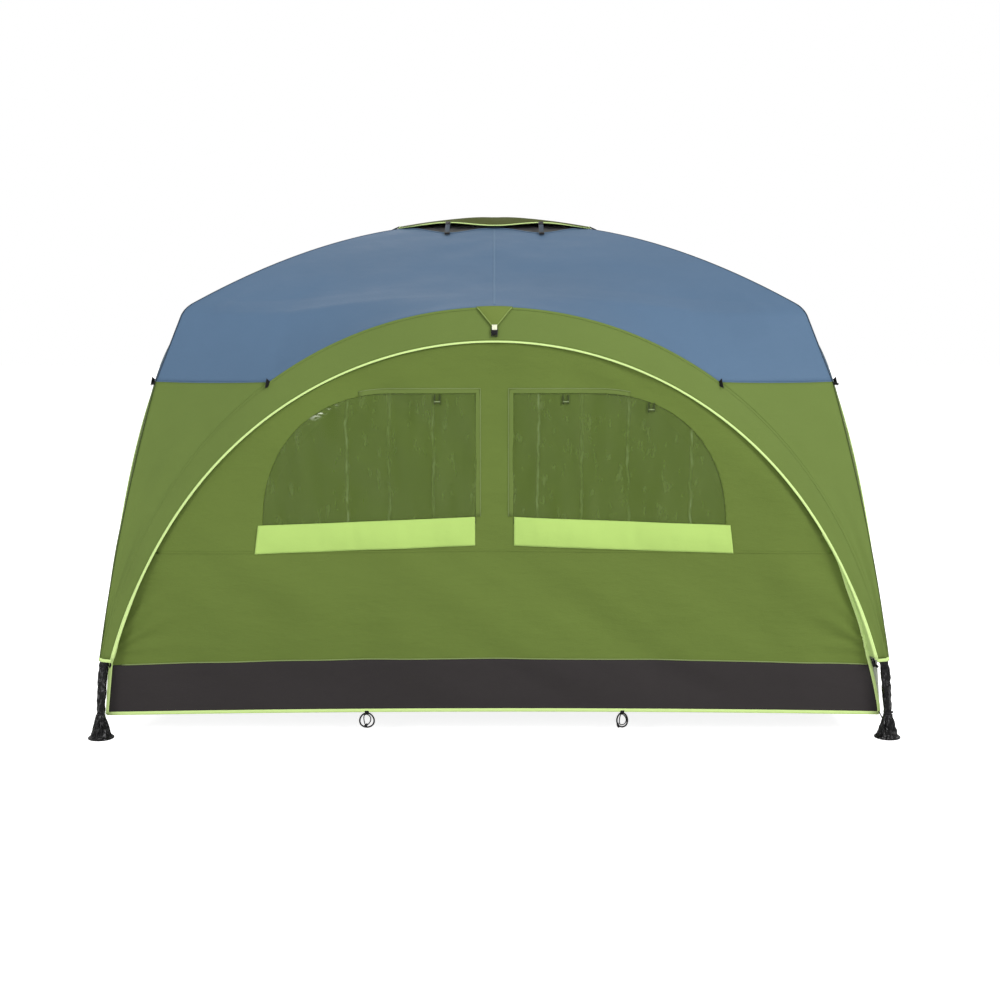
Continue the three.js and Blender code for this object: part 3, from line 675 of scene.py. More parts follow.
# Black sleeve nylon; its lighter second colour is a painted highlight on the crumples.
BLACK_NYLON = crumple_highlight_material("black_sleeve_nylon", (0.0035, 0.0035, 0.0040), (0.075, 0.075, 0.080), 0.24)
LIME = webbing_material("lime_binding_tape", (0.64, 0.84, 0.32))
TAPE_GREEN = webbing_material("green_frame_tape", (0.138, 0.198, 0.045))
TAPE_PALE = webbing_material("tab_edge_fold", (0.230, 0.310, 0.080))
PALE_GREEN = webbing_material("pale_green_piping", (0.23, 0.30, 0.11))
PALE_LIME = cloth_material("pale_lime_flap", (0.46, 0.62, 0.23), roughness=0.7)
THREAD = webbing_material("green_thread", (0.125, 0.185, 0.040))
# Ridge piping: a real piped seam, coloured dark as painted shade where the cloth turns over the poles.
RIDGE_BLUE_SHADE = webbing_material("slate_ridge_piping_painted_shade", (0.045, 0.068, 0.100))
RIDGE_GREEN_SHADE = webbing_material("green_ridge_piping_painted_shade", (0.055, 0.085, 0.020))
BLACK_TAPE = webbing_material("black_webbing", (0.008, 0.008, 0.009))
TOGGLE_TAPE = webbing_material("dark_green_toggle_tape", (0.040, 0.055, 0.020))
CREAM_TAPE = webbing_material("cream_webbing", (0.80, 0.82, 0.62))
SLATE_TAPE = webbing_material("slate_prop_webbing", (0.040, 0.062, 0.088))
PALE_NET = net_material("pale_insect_mesh", (0.50, 0.54, 0.48), 0.55)
FLAP_NET = net_material("corner_insect_mesh", (0.48, 0.54, 0.42), 0.80)
DARK_NET = net_material("dark_insect_mesh", (0.008, 0.010, 0.009), 0.92)
FILM = film_material("clear_vinyl", FILM_CREASES)
FILM_CLIP = plastic_material("clear_clip", (0.19, 0.24, 0.12), roughness=0.25)
BLACK = plastic_material("black_acetal", (0.006, 0.006, 0.007), roughness=0.34, scuff=0.04)
# Black foot moulding; its lighter second colour is a painted highlight on the crumples.
RUBBER = crumple_highlight_material("black_foot_moulding", (0.0035, 0.0035, 0.0040), (0.160, 0.160, 0.165), 0.22)
ZIP = plastic_material("zip_coil_black", (0.016, 0.017, 0.014), roughness=0.5)
LEG_PAINT = metal_material("gloss_black_paint", (0.006, 0.006, 0.007), roughness=0.22)
ELBOW_PAINT = metal_material("grey_powder_coat", (0.05, 0.052, 0.055), roughness=0.45, metallic=0.4)
GLASS_FIBRE = metal_material("black_glass_fibre", (0.012, 0.012, 0.014), roughness=0.35, coat=0.2)


# ---------------------------------------------------------------- pole frame
def pole_line(start, end, count):
    """Points on a pole's middle line, one pole depth inside the fabric's ridge."""
    step = 1e-3
    line = []
    for s in span(start, end, count):
        (ax, az), (bx, bz) = ridge(max(0, s - step), POLE_FROM), ridge(s + step, POLE_FROM)
        along = Vector(((bx - ax) * math.sqrt(2), bz - az)).normalized()
        px, pz = ridge(s, POLE_FROM)
        r = px * math.sqrt(2) + along.y * POLE_DEPTH
        line.append(Vector((r / math.sqrt(2), -r / math.sqrt(2), pz - along.x * POLE_DEPTH)))
    return line


def build_frame():
    for corner, turn in zip(CORNERS, TURNS):
        pole = [tube("pole", pole_line(0, POLE_TO, 60), ROOF_POLE_R, GLASS_FIBRE, 24),
                tube("ferrule", pole_line(0.30, 0.34, 4), ROOF_POLE_R + 0.0012, ELBOW_PAINT, 24)]
        attach(merge("roof_pole_tube_" + corner, pole), turn, "roof_pole_" + corner)
        collar = pole_line(ELBOW_FROM - 0.004, ELBOW_FROM + 0.02, 4)
        elbow = [tube("elbow", pole_line(ELBOW_FROM, 1, 60), ELBOW_R, ELBOW_PAINT, 32),
                 tube("collar", collar, ELBOW_R + 0.0015, ELBOW_PAINT, 32)]
        attach(merge("elbow_tube_" + corner, elbow), turn, "elbow_" + corner)
        line = pole_line(LEG_SLEEVE_FROM, 1, 8) + leg_points(LEG_TOP, LEG_END, 90)
        attach(tube("leg_tube_" + corner, line, LEG_R, LEG_PAINT, 40), turn, "leg_" + corner)


def build_hub():
    centre = Vector((0, 0, ROOF_TOP - POLE_DEPTH - HUB_LOW))
    outline = [(0, -0.011), (0.034, -0.011), (0.044, -0.008), (HUB_R, -0.002), (0.044, 0.006), (0.036, 0.011),
               (0.020, 0.014), (0, 0.015)]
    pieces = [place(lathe("hub_disc", outline, BLACK), Matrix.Translation(centre))]
    for k in range(4):
        a = math.pi / 4 + k * math.pi / 2
        d = Vector((math.cos(a), math.sin(a), 0))
        pieces.append(tube("socket", [centre + d * r for r in span(0.030, 0.112, 6)], SOCKET_R, BLACK, 32))
        pieces.append(tube("lip", [centre + d * r for r in span(0.104, 0.112, 2)], SOCKET_R + 0.0015, BLACK, 32))
        rib = block((0.045, 0.004, 0.018), (0, 0, 0), BLACK)
        pieces.append(place(rib, Matrix.Translation(centre + d * 0.055) @ Matrix.Rotation(a, 4, "Z")))
    attach(merge("hub_moulding", pieces), node="hub")


# ---------------------------------------------------------------- canopy
def roof_skin(t, s):
    """The roof's cloth: it sags between the poles, ripples a little and pulls towards the corners."""
    sag = 0.010 * (1 - t * t) * math.sin(math.pi * min(1, s * 1.02)) if s < 0.98 else 0
    tension = 0.0056 * RIPPLE(t * 5 + 3, s * 9) * (1 - t * t) * smoothstep(s * 5) * smoothstep((1 - s) * 8)
    toward_corner = smoothstep((abs(t) - 0.55) / 0.3) * smoothstep((s - 0.6) / 0.3) * smoothstep((1 - s) * 6)
    pull = 0.0070 * DRIFT(abs(t) * 22, s * 3 + 7) * toward_corner * smoothstep((1 - abs(t)) * 12)
    return roof_point(t, s) + Vector((0, 0, tension + pull - sag))


def build_roof():
    across = [math.copysign(1 - (1 - abs(t)) ** 1.25, t) for t in span(-1, 1, 112)]
    rows = [[roof_skin(t, s) for t in across] for s in span(0, 1, 84)]
    quarters = [grid("quarter", [[turn @ p for p in row] for row in rows], BLUE) for turn in TURNS]
    roof = thicken(clean(merge("roof_canopy", quarters), 2e-4))
    attach(roof, node=["roof_panel_" + side for side in SIDES])
    line = [roof_skin(0, s) + Vector((0, -0.0003, 0.0006)) for s in span(0.03, 0.97, 80)]
    for side, turn in zip(SIDES, TURNS):
        trim("roof_centre_seam_" + side, line, 0.0085, 0.0007, (0, -0.3, 0.95), ROOF_SEAM, 0, turn)


def corner_skin(q, v):
    f = abs(q)
    slack = 0.011 * RIPPLE(q * 3 + 9, v * 2.5) * math.sin(math.pi * f) * math.sin(math.pi * v)
    pulls = 0.006 * DRIFT(q * 14 + 2, v * 2) * smoothstep((0.35 - v) / 0.3) * math.sin(math.pi * f)
    return corner_point(q, v) + Vector((1, -1, 0)).normalized() * (slack + pulls)


def band_skin(t, w):
    slack = 0.0030 * RIPPLE(t * 26, w * 2 + 5) * math.sin(math.pi * w)
    return band_point(t, w) + Vector((0, -1, 0.35)).normalized() * slack


def build_lower_canopy():
    rows = [[corner_skin(q, v) for q in span(-1, 1, 56)] for v in span(0, 1, 64)]
    for corner, turn in zip(CORNERS, TURNS):
        attach(sheet("corner_skin_" + corner, rows, GREEN), turn=turn, node="corner_panel_" + corner)
    rows = [[band_skin(t, w) for t in span(0, 1, 200)] for w in span(0, 1, 10)]
    for side, turn in zip(SIDES, TURNS):
        attach(sheet("band_skin_" + side, rows, GREEN), turn=turn, node="arch_band_" + side)


def arch_binding_width(side, t):
    """The folded tape shows more of its face towards the legs, and most at the front wall's feet."""
    low = abs(2 * t - 1)
    foot = 0.013 if side == "front" else 0.010
    return lerp(lerp(0.0075, 0.0095, smoothstep((low - 0.3) / 0.4)), foot, smoothstep((low - 0.84) / 0.08))


def band_normal(t):
    across = (band_point(t, 1) - band_point(t, 0)).normalized()
    along = (band_point(min(1, t + 1e-3), 1) - band_point(max(0, t - 1e-3), 1)).normalized()
    n = across.cross(along).normalized()
    return n if n.y < 0 else -n


def build_canopy_trim():
    ts = span(0, 1, 160)
    faces = [band_normal(t) for t in ts]
    edge = [band_point(t, 1) + Vector((0, -0.002, 0)) for t in ts]
    seam = [band_skin(t, 0.03) + n * 0.0003 for t, n in zip(ts, faces)]
    stitches = [band_skin(t, 0.07) + n * 0.0004 for t, n in zip(ts, faces)]
    for side, turn in zip(SIDES, TURNS):
        trim("arch_binding_" + side, edge, lambda t: arch_binding_width(side, t), 0.0032, faces, LIME, 0.0008,
             turn=turn)
        trim("band_seam_" + side, seam, 0.0085, 0.0009, faces, GREEN, turn=turn)
        trim("band_stitching_" + side, stitches, 0.0009, 0.0005, faces, THREAD, turn=turn)
    top = [corner_point(q, 1) for q in span(-1, 1, 40)]
    hem, out = corner_hem_line()
    for corner, turn in zip(CORNERS, TURNS):
        attach(tube("corner_seam_" + corner, top, 0.0014, ROOF_SEAM, 6), turn)
        trim("corner_hem_" + corner, hem, 0.0120, 0.0036, out, LIME, 0.0008, turn=turn)
        build_ridge(corner, turn)


def corner_hem_line():
    """The low edge round a corner: the front band's foot, the corner panel, then the next band's foot."""
    line = [band_point(0, w) for w in span(0.97, 0.05, 6)]
    line += [corner_point(q, 0) for q in span(-1, 1, 24)]
    line += [TURNS[1] @ band_point(1, w) for w in span(0.05, 0.97, 6)]
    turned = [smoothstep(i / (len(line) - 1)) * math.pi / 2 for i in range(len(line))]
    out = [Vector((math.sin(a), -math.cos(a), 0)) for a in turned]
    dips = [0.005 - 0.009 * abs(2 * i / (len(line) - 1) - 1) ** 2 for i in range(len(line))]
    return [p + n * 0.0015 + Vector((0, 0, dip)) for p, n, dip in zip(line, out, dips)], out


def build_ridge(corner, turn):
    """The sewn ridge over each pole: a narrow piped seam, blue on the roof and green below it; its dark colour is
    painted shade along the silhouettes.
    """
    outward = Vector((1, -1, 0)).normalized()
    roof_line = [Vector((u, -u, z)) for u, z in (ridge(s) for s in span(0.02, 1, 90))]
    leg_line = [corner_point(0, v) for v in span(1, 0.01, 50)]
    for name, line, mat, slot in (("roof_ridge_", roof_line, RIDGE_BLUE_SHADE, "blue_fabric"),
                                  ("leg_ridge_", leg_line, RIDGE_GREEN_SHADE, "green_fabric")):
        trim(name + corner, line, 0.0055, 0.0016, outward, mat, 0.0004, turn)


def v_tab_rows(face):
    rows = []
    for f in span(0, 1, 14):
        half = lerp(V_HALF, 0.009, f)
        middle = band_point(0.5, lerp(-0.02, V_TIP, f))
        row = []
        for g in span(-1, 1, 16):
            bow = 0.0050 * (1 - g * g) * math.sin(math.pi * min(1, f + 0.15)) + 0.0035 * smoothstep(f * 4)
            seam_drop = band_seam(math.pi / 2 - abs(g) * half / BAND_HALF).z - BAND_TOP
            row.append(middle + face * (0.0022 + bow) + Vector((g * half, 0, seam_drop * (1 - f))))
        rows.append(row)
    return rows


def build_tabs():
    """The V tab over each arch with its webbing, and the guy tabs at both ends of each corner seam."""
    slope = (band_point(0.5, 1) - band_point(0.5, 0)).normalized()
    face = Vector((0, slope.z, -slope.y))
    face = face if face.y < 0 else -face
    rows = v_tab_rows(face)
    start = band_point(0.5, V_TIP - 0.02) + face * 0.0085
    tape = [start + slope * d for d in span(0, 0.021, 8)]
    for side, turn in zip(SIDES, TURNS):
        attach(sheet("v_tab_" + side, rows, TAB_GREEN, 0.0018), turn=turn)
        edges = [strap("edge", [row[g] + face * 0.0012 for row in rows[1:]], 0.0045, 0.0018, face, TAPE_PALE,
                       0.0004) for g in (0, -1)]
        attach(merge("v_tab_edge_" + side, edges), turn=turn)
        trim("buckle_webbing_" + side, tape, 0.0195, 0.0018, face, CREAM_TAPE, 0.0004, turn)
        for sx, hand in HANDS:
            point = band_seam(TAB_ANGLE if sx > 0 else math.pi - TAB_ANGLE) + Vector((0, 0, 0.002))
            guy_tab("guy_tab_%s_%s" % (side, hand), point, Vector((sx * 0.42, -0.50, -0.75)), 0.028, 0.034, turn)
    for corner, turn in zip(CORNERS, TURNS):
        # The front right tab stands straight out, as in the photograph.
        droop, reach, height = (-0.10, 0.023, 0.013) if corner == "front_right" else (-0.25, 0.009, 0.026)
        point = corner_point(0, 1) + Vector((0, 0, -0.008))
        guy_tab("guy_tab_" + corner, point, Vector((1, -1, droop)), reach, height, turn)


def guy_tab(name, point, out, reach, height, turn):
    """A small folded triangle of black webbing with an eye of cord at its point."""
    out = out.normalized()
    up = (Vector((0, 0, 1)) - out * out.z).normalized()
    wide = out.cross(up).normalized()
    rows = [[point + out * (0.001 + reach * f) + up * (g * lerp(height / 2, 0.003, f)) + wide * (0.0012 * g * g)
             for g in span(-1, 1, 6)] for f in span(0, 1, 8)]
    tab = sheet("tab", rows, BLACK_TAPE, 0.0026, 0.0)
    centre = point + out * (reach + 0.002)
    eye = [centre + (out * math.cos(a) + up * math.sin(a)) * 0.0032 for a in circle(16)]
    attach(merge(name, [tab, tube("cord", eye, 0.0011, BLACK, 8, closed=True)]), turn)


# ---------------------------------------------------------------- roof vent
def vent_rows(half, top, rim, rings, sectors=256):
    rows = []
    for j in range(rings + 1):
        f = max(0.004, j / rings)
        row = []
        for angle in circle(sectors):
            side = round(angle / (math.pi / 2))
            x = half * math.tan(angle - side * math.pi / 2)
            out, z = rim(x)
            p = Vector((x * f, -out * f, lerp(top, z, f**VENT_FALL)))
            row.append(Matrix.Rotation(side * math.pi / 2, 3, "Z") @ p)
        rows.append(row)
    return rows


def hood_rim(x):
    drop = RIM_DROP * (x / HOOD_HALF) ** 4
    return HOOD_HALF, roof_z(HOOD_HALF) + RIM_RISE + RIM_LOBE * lobe(x, HOOD_HALF) - drop


def net_rim(x, half=VENT_HALF - 0.008):
    reach = half + (VENT_SCALLOP - 0.004) * lobe(x, half)
    return reach, roof_z(reach) - 0.004


def build_vent():
    rows = vent_rows(HOOD_HALF, HOOD_TOP, hood_rim, 48)
    attach(sheet("vent_hood_skin", rows, HOOD_GREEN, 0.0016, close_u=True), node="vent_hood")
    edge = rows[-1] + rows[-1][:1]
    out = [Vector((p.x, p.y, 0)).normalized() + Vector((0, 0, 0.35)) for p in edge]

    def width(t):
        """Turned edge-on at the hood's four corners, where little of its face shows."""
        p = edge[round(t * (len(edge) - 1))]
        cornering = min(abs(p.x), abs(p.y)) / max(abs(p.x), abs(p.y))
        return lerp(0.0052, 0.0018, smoothstep((cornering - 0.62) / 0.30))

    trim("vent_hood_binding", [p + Vector((0, 0, -0.001)) for p in edge], width, 0.0034, out, LIME, 0.0008)
    crown = [(0, 0.004), (0.030, 0.0038), (0.043, 0.003), (0.045, 0.0012), (0.045, 0.0), (0, 0.0)]
    patch = lathe("vent_crown_patch", crown, TAPE_GREEN, 48)
    attach(patch, turn=Matrix.Translation((0, 0, HOOD_TOP - 0.004)))
    rows = vent_rows(VENT_HALF - 0.008, ROOF_TOP + 0.012, net_rim, 24)
    attach(sheet("vent_net", rows, DARK_NET, 0.0008, close_u=True), node="vent_mesh")
    hem = []
    for x in span(-VENT_HALF + 0.010, VENT_HALF - 0.010, 100):
        reach = VENT_HALF + VENT_SCALLOP * lobe(x, VENT_HALF)
        hem.append(Vector((x, -reach - 0.004, roof_z(reach + 0.004) + 0.0015)))
    for side, turn in zip(SIDES, TURNS):
        trim("vent_opening_hem_" + side, hem, 0.009, 0.0020, (0, -0.25, 0.97), ROOF_SEAM, 0.0004,
             turn)
        for sx, hand in HANDS:
            build_prop("vent_prop_%s_%s" % (side, hand), sx * PROP_X, turn)


def build_prop(name, x, turn):
    """A grey stiffened strap with black ends; it turns about its lower end with its CAD body."""
    low = Vector((x, -PROP_OUT, roof_z(PROP_OUT) + 0.006))
    high = Vector((x, -(HOOD_HALF + 0.010), roof_z(HOOD_HALF) + 0.030))
    middle = low.lerp(high, 0.5) + Vector((0, -0.003, 0.003))
    line = [low.lerp(middle, f).lerp(middle.lerp(high, f), f) for f in span(0, 1, 20)]
    normal = Vector((0, -0.45, 0.9))
    parts = [strap("band", line, 0.020, 0.0022, normal, SLATE_TAPE, 0.0006),
             strap("low_end", line[:4], 0.0225, 0.0036, normal, BLACK_TAPE, 0.0005),
             strap("high_end", line[-6:], 0.0225, 0.0040, normal, BLACK_TAPE, 0.0005)]
    attach(merge(name + "_strap", parts), turn, name, name)


# ---------------------------------------------------------------- walls
def wall_x(z, spread, hangs_open=False):
    """Half-width of a wall's cloth: it laps behind the arch band, except where its edge hangs open."""
    if z >= WALL_TOP:
        return 0.0
    edge = arch_x(z * ARCH_TOP / WALL_TOP)
    lap = WALL_LAP * max(0.0, 1 - z / WALL_LAP_Z)
    flare = 0.0
    if spread > SIDE_SPREAD:
        flare = HEM_FLARE * max(0.0, 1 - (z - WALL_HEM) / 0.22) - HEM_NIP * smoothstep((0.40 - z) / 0.08)
    if hangs_open:
        tucked = -(WALL_INSIDE + WALL_TUCK * max(0.0, 1 - z / WALL_TUCK_Z))
        lap = lerp(lap, tucked, smoothstep((0.70 - z) / 0.15))
        flare *= OPEN_FLARE
    return max(0.0, min(spread, edge + lap) + flare)


def wall_depth(x, z, spread):
    """How far the hanging cloth stands out from the wall's plane: soft drapes and pulls at its edges."""
    edge = wall_x(z, spread) - abs(x)
    free = smoothstep(edge / 0.25) * smoothstep((ARCH_TOP - z) / 0.2) * smoothstep((z - WALL_HEM) / 0.15)
    billow = 0.016 * BILLOW(x * 1.3 + 4, z * 1.6) * free
    drape = 0.0085 * CREASE(x * 6, z * 0.9 + 3) * free
    slant = 0.0080 * CREASE(x * 5 + z * 7 + 17, x * 1.5 - z * 1.2) * free
    pull = 0.0060 * CREASE((abs(x) + z) * 9 + 11, (abs(x) - z) * 1.3) * smoothstep(edge / 0.03) * (
        1 - smoothstep(edge / 0.45)) * smoothstep((z - SKIRT_TOP) / 0.1)
    rise, run = z - SKIRT_TOP - 0.03, edge + 0.03
    away = math.hypot(rise, run)
    fan = 0.0065 * math.sin(13 * math.atan2(rise, run)) * (1 - smoothstep(away / 0.42)) * smoothstep(edge / 0.04)
    relief = billow + drape + slant + pull + fan * smoothstep((z - SKIRT_TOP) / 0.05)
    return relief * (1.0 if spread > SIDE_SPREAD else SCREEN_RELIEF)


def wall_point(x, z, proud=0.0, spread=WALL_SPREAD):
    return Vector((x, -WALL_PLANE - proud - wall_depth(x, z, spread), z))


def wall_rows(low, high, spread, columns, rows, proud=0.0, open_side=0):
    """Points that fill the wall's outline between two lines of height over the share across."""
    result = []
    for j in range(rows + 1):
        row = []
        for t in span(-1, 1, columns):
            z = lerp(low(t), high(t), j / rows)
            row.append(wall_point(t * wall_x(z, spread, t * open_side > 0), z, proud, spread))
        result.append(row)
    return result


def skirt_top(t):
    return SKIRT_TOP - SKIRT_DROP * t * t


def hem_low(t):
    return WALL_HEM - 0.0010 - 0.0130 * t * t


def window_top(x, grow=0.0):
    """Height of a window's curved top at a distance from the wall's middle."""
    run = min(1.0, max(0.0, (x - WINDOW_MIDDLE) / (WINDOW_WIDTH + grow)))
    power = 2 / WINDOW_POWER
    return WINDOW_SILL - grow + (WINDOW_HEIGHT + 2 * grow) * max(0.0, 1 - run**power) ** (1 / power)


def window_outline(side):
    curve = []
    for a in span(0, math.pi / 2, 40):
        x = WINDOW_MIDDLE + WINDOW_WIDTH * math.cos(a) ** WINDOW_POWER
        curve.append((x, WINDOW_SILL + WINDOW_HEIGHT * math.sin(a) ** WINDOW_POWER))
    points = [(WINDOW_INNER, WINDOW_SILL)] + curve + [(WINDOW_INNER, WINDOW_SILL + WINDOW_HEIGHT)]
    return [(side * x, z) for x, z in points]


def resample(points, step):
    """Points at about equal steps along a bent line, corners kept."""
    result = []
    for a, b in zip(points, points[1:]):
        count = max(1, round((b - a).length / step))
        result += [a.lerp(b, i / count) for i in range(count)]
    return result + points[-1:]


def piping_width(share):
    return lerp(0.0110, 0.0155, smoothstep(share * 1.6))


def build_wall_common(side, turn, spread, open_side=0):
    """Mud skirt, its seam, the hem binding and the piping up the zipped edges, shared by all walls."""
    rows = wall_rows(hem_low, lambda t: skirt_top(t) + 0.004, spread, 160, 18, 0.0012, open_side)
    attach(sheet("mud_skirt_" + side, rows, CHARCOAL, weld=1e-4), turn=turn)
    hem = []
    for t in span(-1, 1, 120):
        x = t * (wall_x(WALL_HEM, spread, t * open_side > 0) - 0.003)
        hem.append(wall_point(x, hem_low(t) + 0.003, 0.0015, spread))
    trim("hem_binding_" + side, hem, 0.0130, 0.0040, FRONT, LIME, 0.0008, turn=turn)
    half = wall_x(SKIRT_TOP, spread, bool(open_side)) - 0.012
    seam = [wall_point(t * half, skirt_top(t) + 0.006, 0.0016, spread) for t in span(-1, 1, 120)]
    trim("skirt_seam_" + side, seam, 0.0042, 0.0016, FRONT, PALE_GREEN, 0.0004, turn=turn)
    edges = []
    for sx in (-1, 1):
        hangs_open = sx == open_side
        heights = span(hem_low(1), 0.78 if hangs_open else 0.42, 40)
        line = [wall_point(sx * (wall_x(z, spread, hangs_open) - 0.004), z, 0.002, spread) for z in heights]
        edges.append(strap("piping", line, piping_width, 0.0040, FRONT, LIME, 0.001))
    attach(merge("wall_piping_" + side, edges), turn=turn)


def build_solid_wall(side, turn, columns, rows, open_side=0, cutters=()):
    """A solid wall and the felled seam where its two breadths of cloth join, a little above its middle."""
    build_wall_common(side, turn, WALL_SPREAD, open_side)
    points = wall_rows(lambda t: skirt_top(t) - 0.004, lambda t: WALL_TOP, WALL_SPREAD, columns, rows,
                       open_side=open_side)
    cloth = cut_out(sheet(side + "_wall_cloth", points, WALL_GREEN, weld=1e-4), cutters)
    attach(cloth, turn=turn, node=side + "_wall")
    half = wall_x(CROSS_SEAM_Z, WALL_SPREAD) - 0.012
    seam = [wall_point(x, CROSS_SEAM_Z - 0.006 * abs(x), 0.0010) for x in span(-half, half, 120)]
    trim("wall_seam_" + side, seam, 0.0075, 0.0010, FRONT, WALL_GREEN, turn=turn)


def build_front_wall():
    cutters = [prism(window_outline(s), -WALL_PLANE - 0.1, -WALL_PLANE + 0.1) for s, hand in HANDS]
    build_solid_wall("front", TURNS[0], 180, 110, 1, cutters)
    for s, hand in HANDS:
        build_window(s, hand)
    build_open_edge()
    for name, (x, z) in TOGGLES.items():
        build_toggle(name, x, z)


def build_open_edge():
    """At the right foot a pale zip flap joins the open wall to the arch, and net shows beside the leg."""
    rows = []
    for z in span(*OPEN_FLAP_Z, 40):
        outer = arch_edge(math.asin(z / ARCH_TOP)) + Vector((0.001, 0.003, 0))
        inner = wall_point(wall_x(z, WALL_SPREAD, True) - 0.002, z)
        rows.append([outer.lerp(inner, f) + Vector((0, 0.003 * math.sin(math.pi * f), 0)) for f in span(0, 1, 6)])
    attach(sheet("zip_flap_front_right", rows, PALE_LIME, 0.0010, 0.0))
    rows = [[Vector((lerp(CORNER_NET_X, leg_u(z) - 0.016, f), -WALL_PLANE + 0.005, z)) for f in span(0, 1, 6)]
            for z in span(*CORNER_NET_Z, 20)]
    attach(sheet("corner_net_front_right", rows, FLAP_NET, 0.0008, 0.0))


def build_toggle(name, x, z):
    """A clear toggle on two tape tails that holds the rolled window cover."""
    parts = []
    for sx in (-1, 1):
        tail = [wall_point(x + sx * 0.010, z - d, 0.0040) for d in span(-0.010, 0.026, 6)]
        parts.append(strap("tail", tail, 0.0048, 0.0012, FRONT, TOGGLE_TAPE))
    bar = [wall_point(x + d, z - 0.016, 0.0066) for d in span(-0.011, 0.011, 8)]
    parts.append(tube("bar", bar, 0.0022, FILM_CLIP))
    attach(merge("window_toggle_" + name, parts))


def film_point(s, x, f):
    """A point of the loose vinyl behind a window's opening, at a share of its height."""
    low, far = WINDOW_SILL - 0.010, WINDOW_MIDDLE + WINDOW_WIDTH
    z = lerp(low, max(window_top(x, 0.010), low + 0.002), f)
    wave = 0.0050 * CREASE(x * 15 + 5, z * 1.2) * math.sin(math.pi * f) * smoothstep((far - x) / 0.08)
    return Vector((s * x, -WALL_PLANE + 0.0022 - wall_depth(s * x, z, WALL_SPREAD) - wave, z))


def strip_point(s, g, f):
    """A point of the puffed lime strip below a window: share g along it and f up it."""
    x = lerp(WINDOW_INNER + 0.0025, lerp(STRIP_END_LOW, STRIP_END_HIGH, f), g)
    z = lerp(lerp(STRIP_INNER_Z[0], STRIP_OUTER_Z[0], g), lerp(STRIP_INNER_Z[1], STRIP_OUTER_Z[1], g), f)
    puff = 0.0060 * math.sin(math.pi * f) * smoothstep(g * 12) * smoothstep((1 - g) * 12)
    fold = 0.0030 * CREASE(x * 30 + 31, z * 2.0) * math.sin(math.pi * f)
    return wall_point(s * x, z, 0.0030) + Vector((0, -puff - fold, 0))


def build_window(s, hand):
    for name, grow, width, height, mat in (("frame", 0.008, 0.016, 0.0016, TAPE_GREEN),
                                           ("piping", 0.018, 0.0026, 0.0022, PALE_GREEN)):
        inner, top = WINDOW_INNER - grow, WINDOW_SILL + WINDOW_HEIGHT + grow
        line = [(inner, WINDOW_SILL + 0.03), (inner, top)]
        line += [(x, window_top(x, grow)) for x in span(inner + 0.02, WINDOW_MIDDLE + 0.13, 20)]
        ring = [wall_point(p.x, p.z, 0.0012) for p in resample([Vector((s * x, 0, z)) for x, z in line], 0.02)]
        trim("window_%s_%s" % (name, hand), ring, width, height, FRONT, mat, 0.0003)
    xs = span(WINDOW_INNER - 0.010, WINDOW_MIDDLE + WINDOW_WIDTH + 0.004, 130)
    rows = [[film_point(s, x, f) for x in xs] for f in span(0, 1, 50)]
    attach(sheet("window_film_" + hand, rows, FILM, 0.0006, weld=1e-4), node="window_pane_" + hand)
    rows = [[strip_point(s, g, f) for g in span(0, 1, 110)] for f in span(0, 1, 14)]
    attach(sheet("window_strip_" + hand, rows, LIME_CLOTH, 0.0014))


def arch_line(z_low, inset, spread, count):
    """Points (x, z) up the right side, over the top and down the left, inset from the wall's edge."""
    top = WALL_TOP - inset
    right = []
    for a in span(0, math.pi / 2, count // 2):
        z = z_low + (top - z_low) * math.sin(a)
        share = (z - z_low) / (top - z_low)
        x = wall_x(min(z, top) * WALL_TOP / top, spread) - inset * (1 - share)
        right.append((max(0.0, x), z))
    right[-1] = (0.0, top)
    return right + [(-x, z) for x, z in right[::-1][1:]]


def door_line(gap, count):
    """Points (x, z) round a door's opening, a gap inside it."""
    half = DOOR_HALF - gap
    rise = DOOR_TOP - DOOR_SPRING - gap
    upright = [(half, z) for z in span(DOOR_SILL + gap, DOOR_SPRING, count // 4)[:-1]]
    rest = count - 2 * len(upright)
    arch = [(half * math.cos(a), DOOR_SPRING + rise * math.sin(a)) for a in span(0, math.pi, rest)]
    return upright + arch + [(-x, z) for x, z in upright[::-1]]


def ruled(a, b, steps, proud=0.0):
    """Rows of points on a screen wall from one line of (x, z) to another."""
    return [[wall_point(lerp(p[0], q[0], f), lerp(p[1], q[1], f), proud, SIDE_SPREAD) for p, q in zip(a, b)]
            for f in span(0, 1, steps)]


def level(z, half, count):
    return [(x, z) for x in span(half, -half, count)]


def build_screen_wall(side, turn):
    build_wall_common(side, turn, SIDE_SPREAD)
    low = DOOR_SILL - 0.006
    door, door_tape = door_line(0.0, 96), door_line(-0.034, 96)
    outer, inner = (arch_line(low, inset, SIDE_SPREAD, len(door) - 1) for inset in (0.0, 0.085))
    border = sheet("border", ruled(inner, outer, 6), WALL_GREEN, weld=1e-4)
    rim = sheet("rim", ruled(door, door_tape, 3), WALL_GREEN, weld=1e-4)
    net = sheet("net", ruled(door_tape, inner, 36), PALE_NET, 0.0007, weld=1e-4)
    attach(merge("screen_wall_cloth_" + side, [border, net, rim]), turn, "screen_wall_" + side)
    reach = wall_x(DOOR_SILL, SIDE_SPREAD) - 0.010
    below = [(t * reach, skirt_top(t) - 0.002) for t in span(-1, 1, 90)]
    above = [(x, DOOR_SILL + 0.0035) for x, z in below]
    attach(sheet("screen_sill_" + side, ruled(below, above, 4, 0.0006), WALL_GREEN), turn=turn)
    coil = [wall_point(x, z, 0.0022, SIDE_SPREAD) for x, z in door_line(-0.0015, 160)]
    trim("door_zip_" + side, coil, 0.0098, 0.0026, FRONT, ZIP, 0.0006, turn)
    build_door(side, turn)


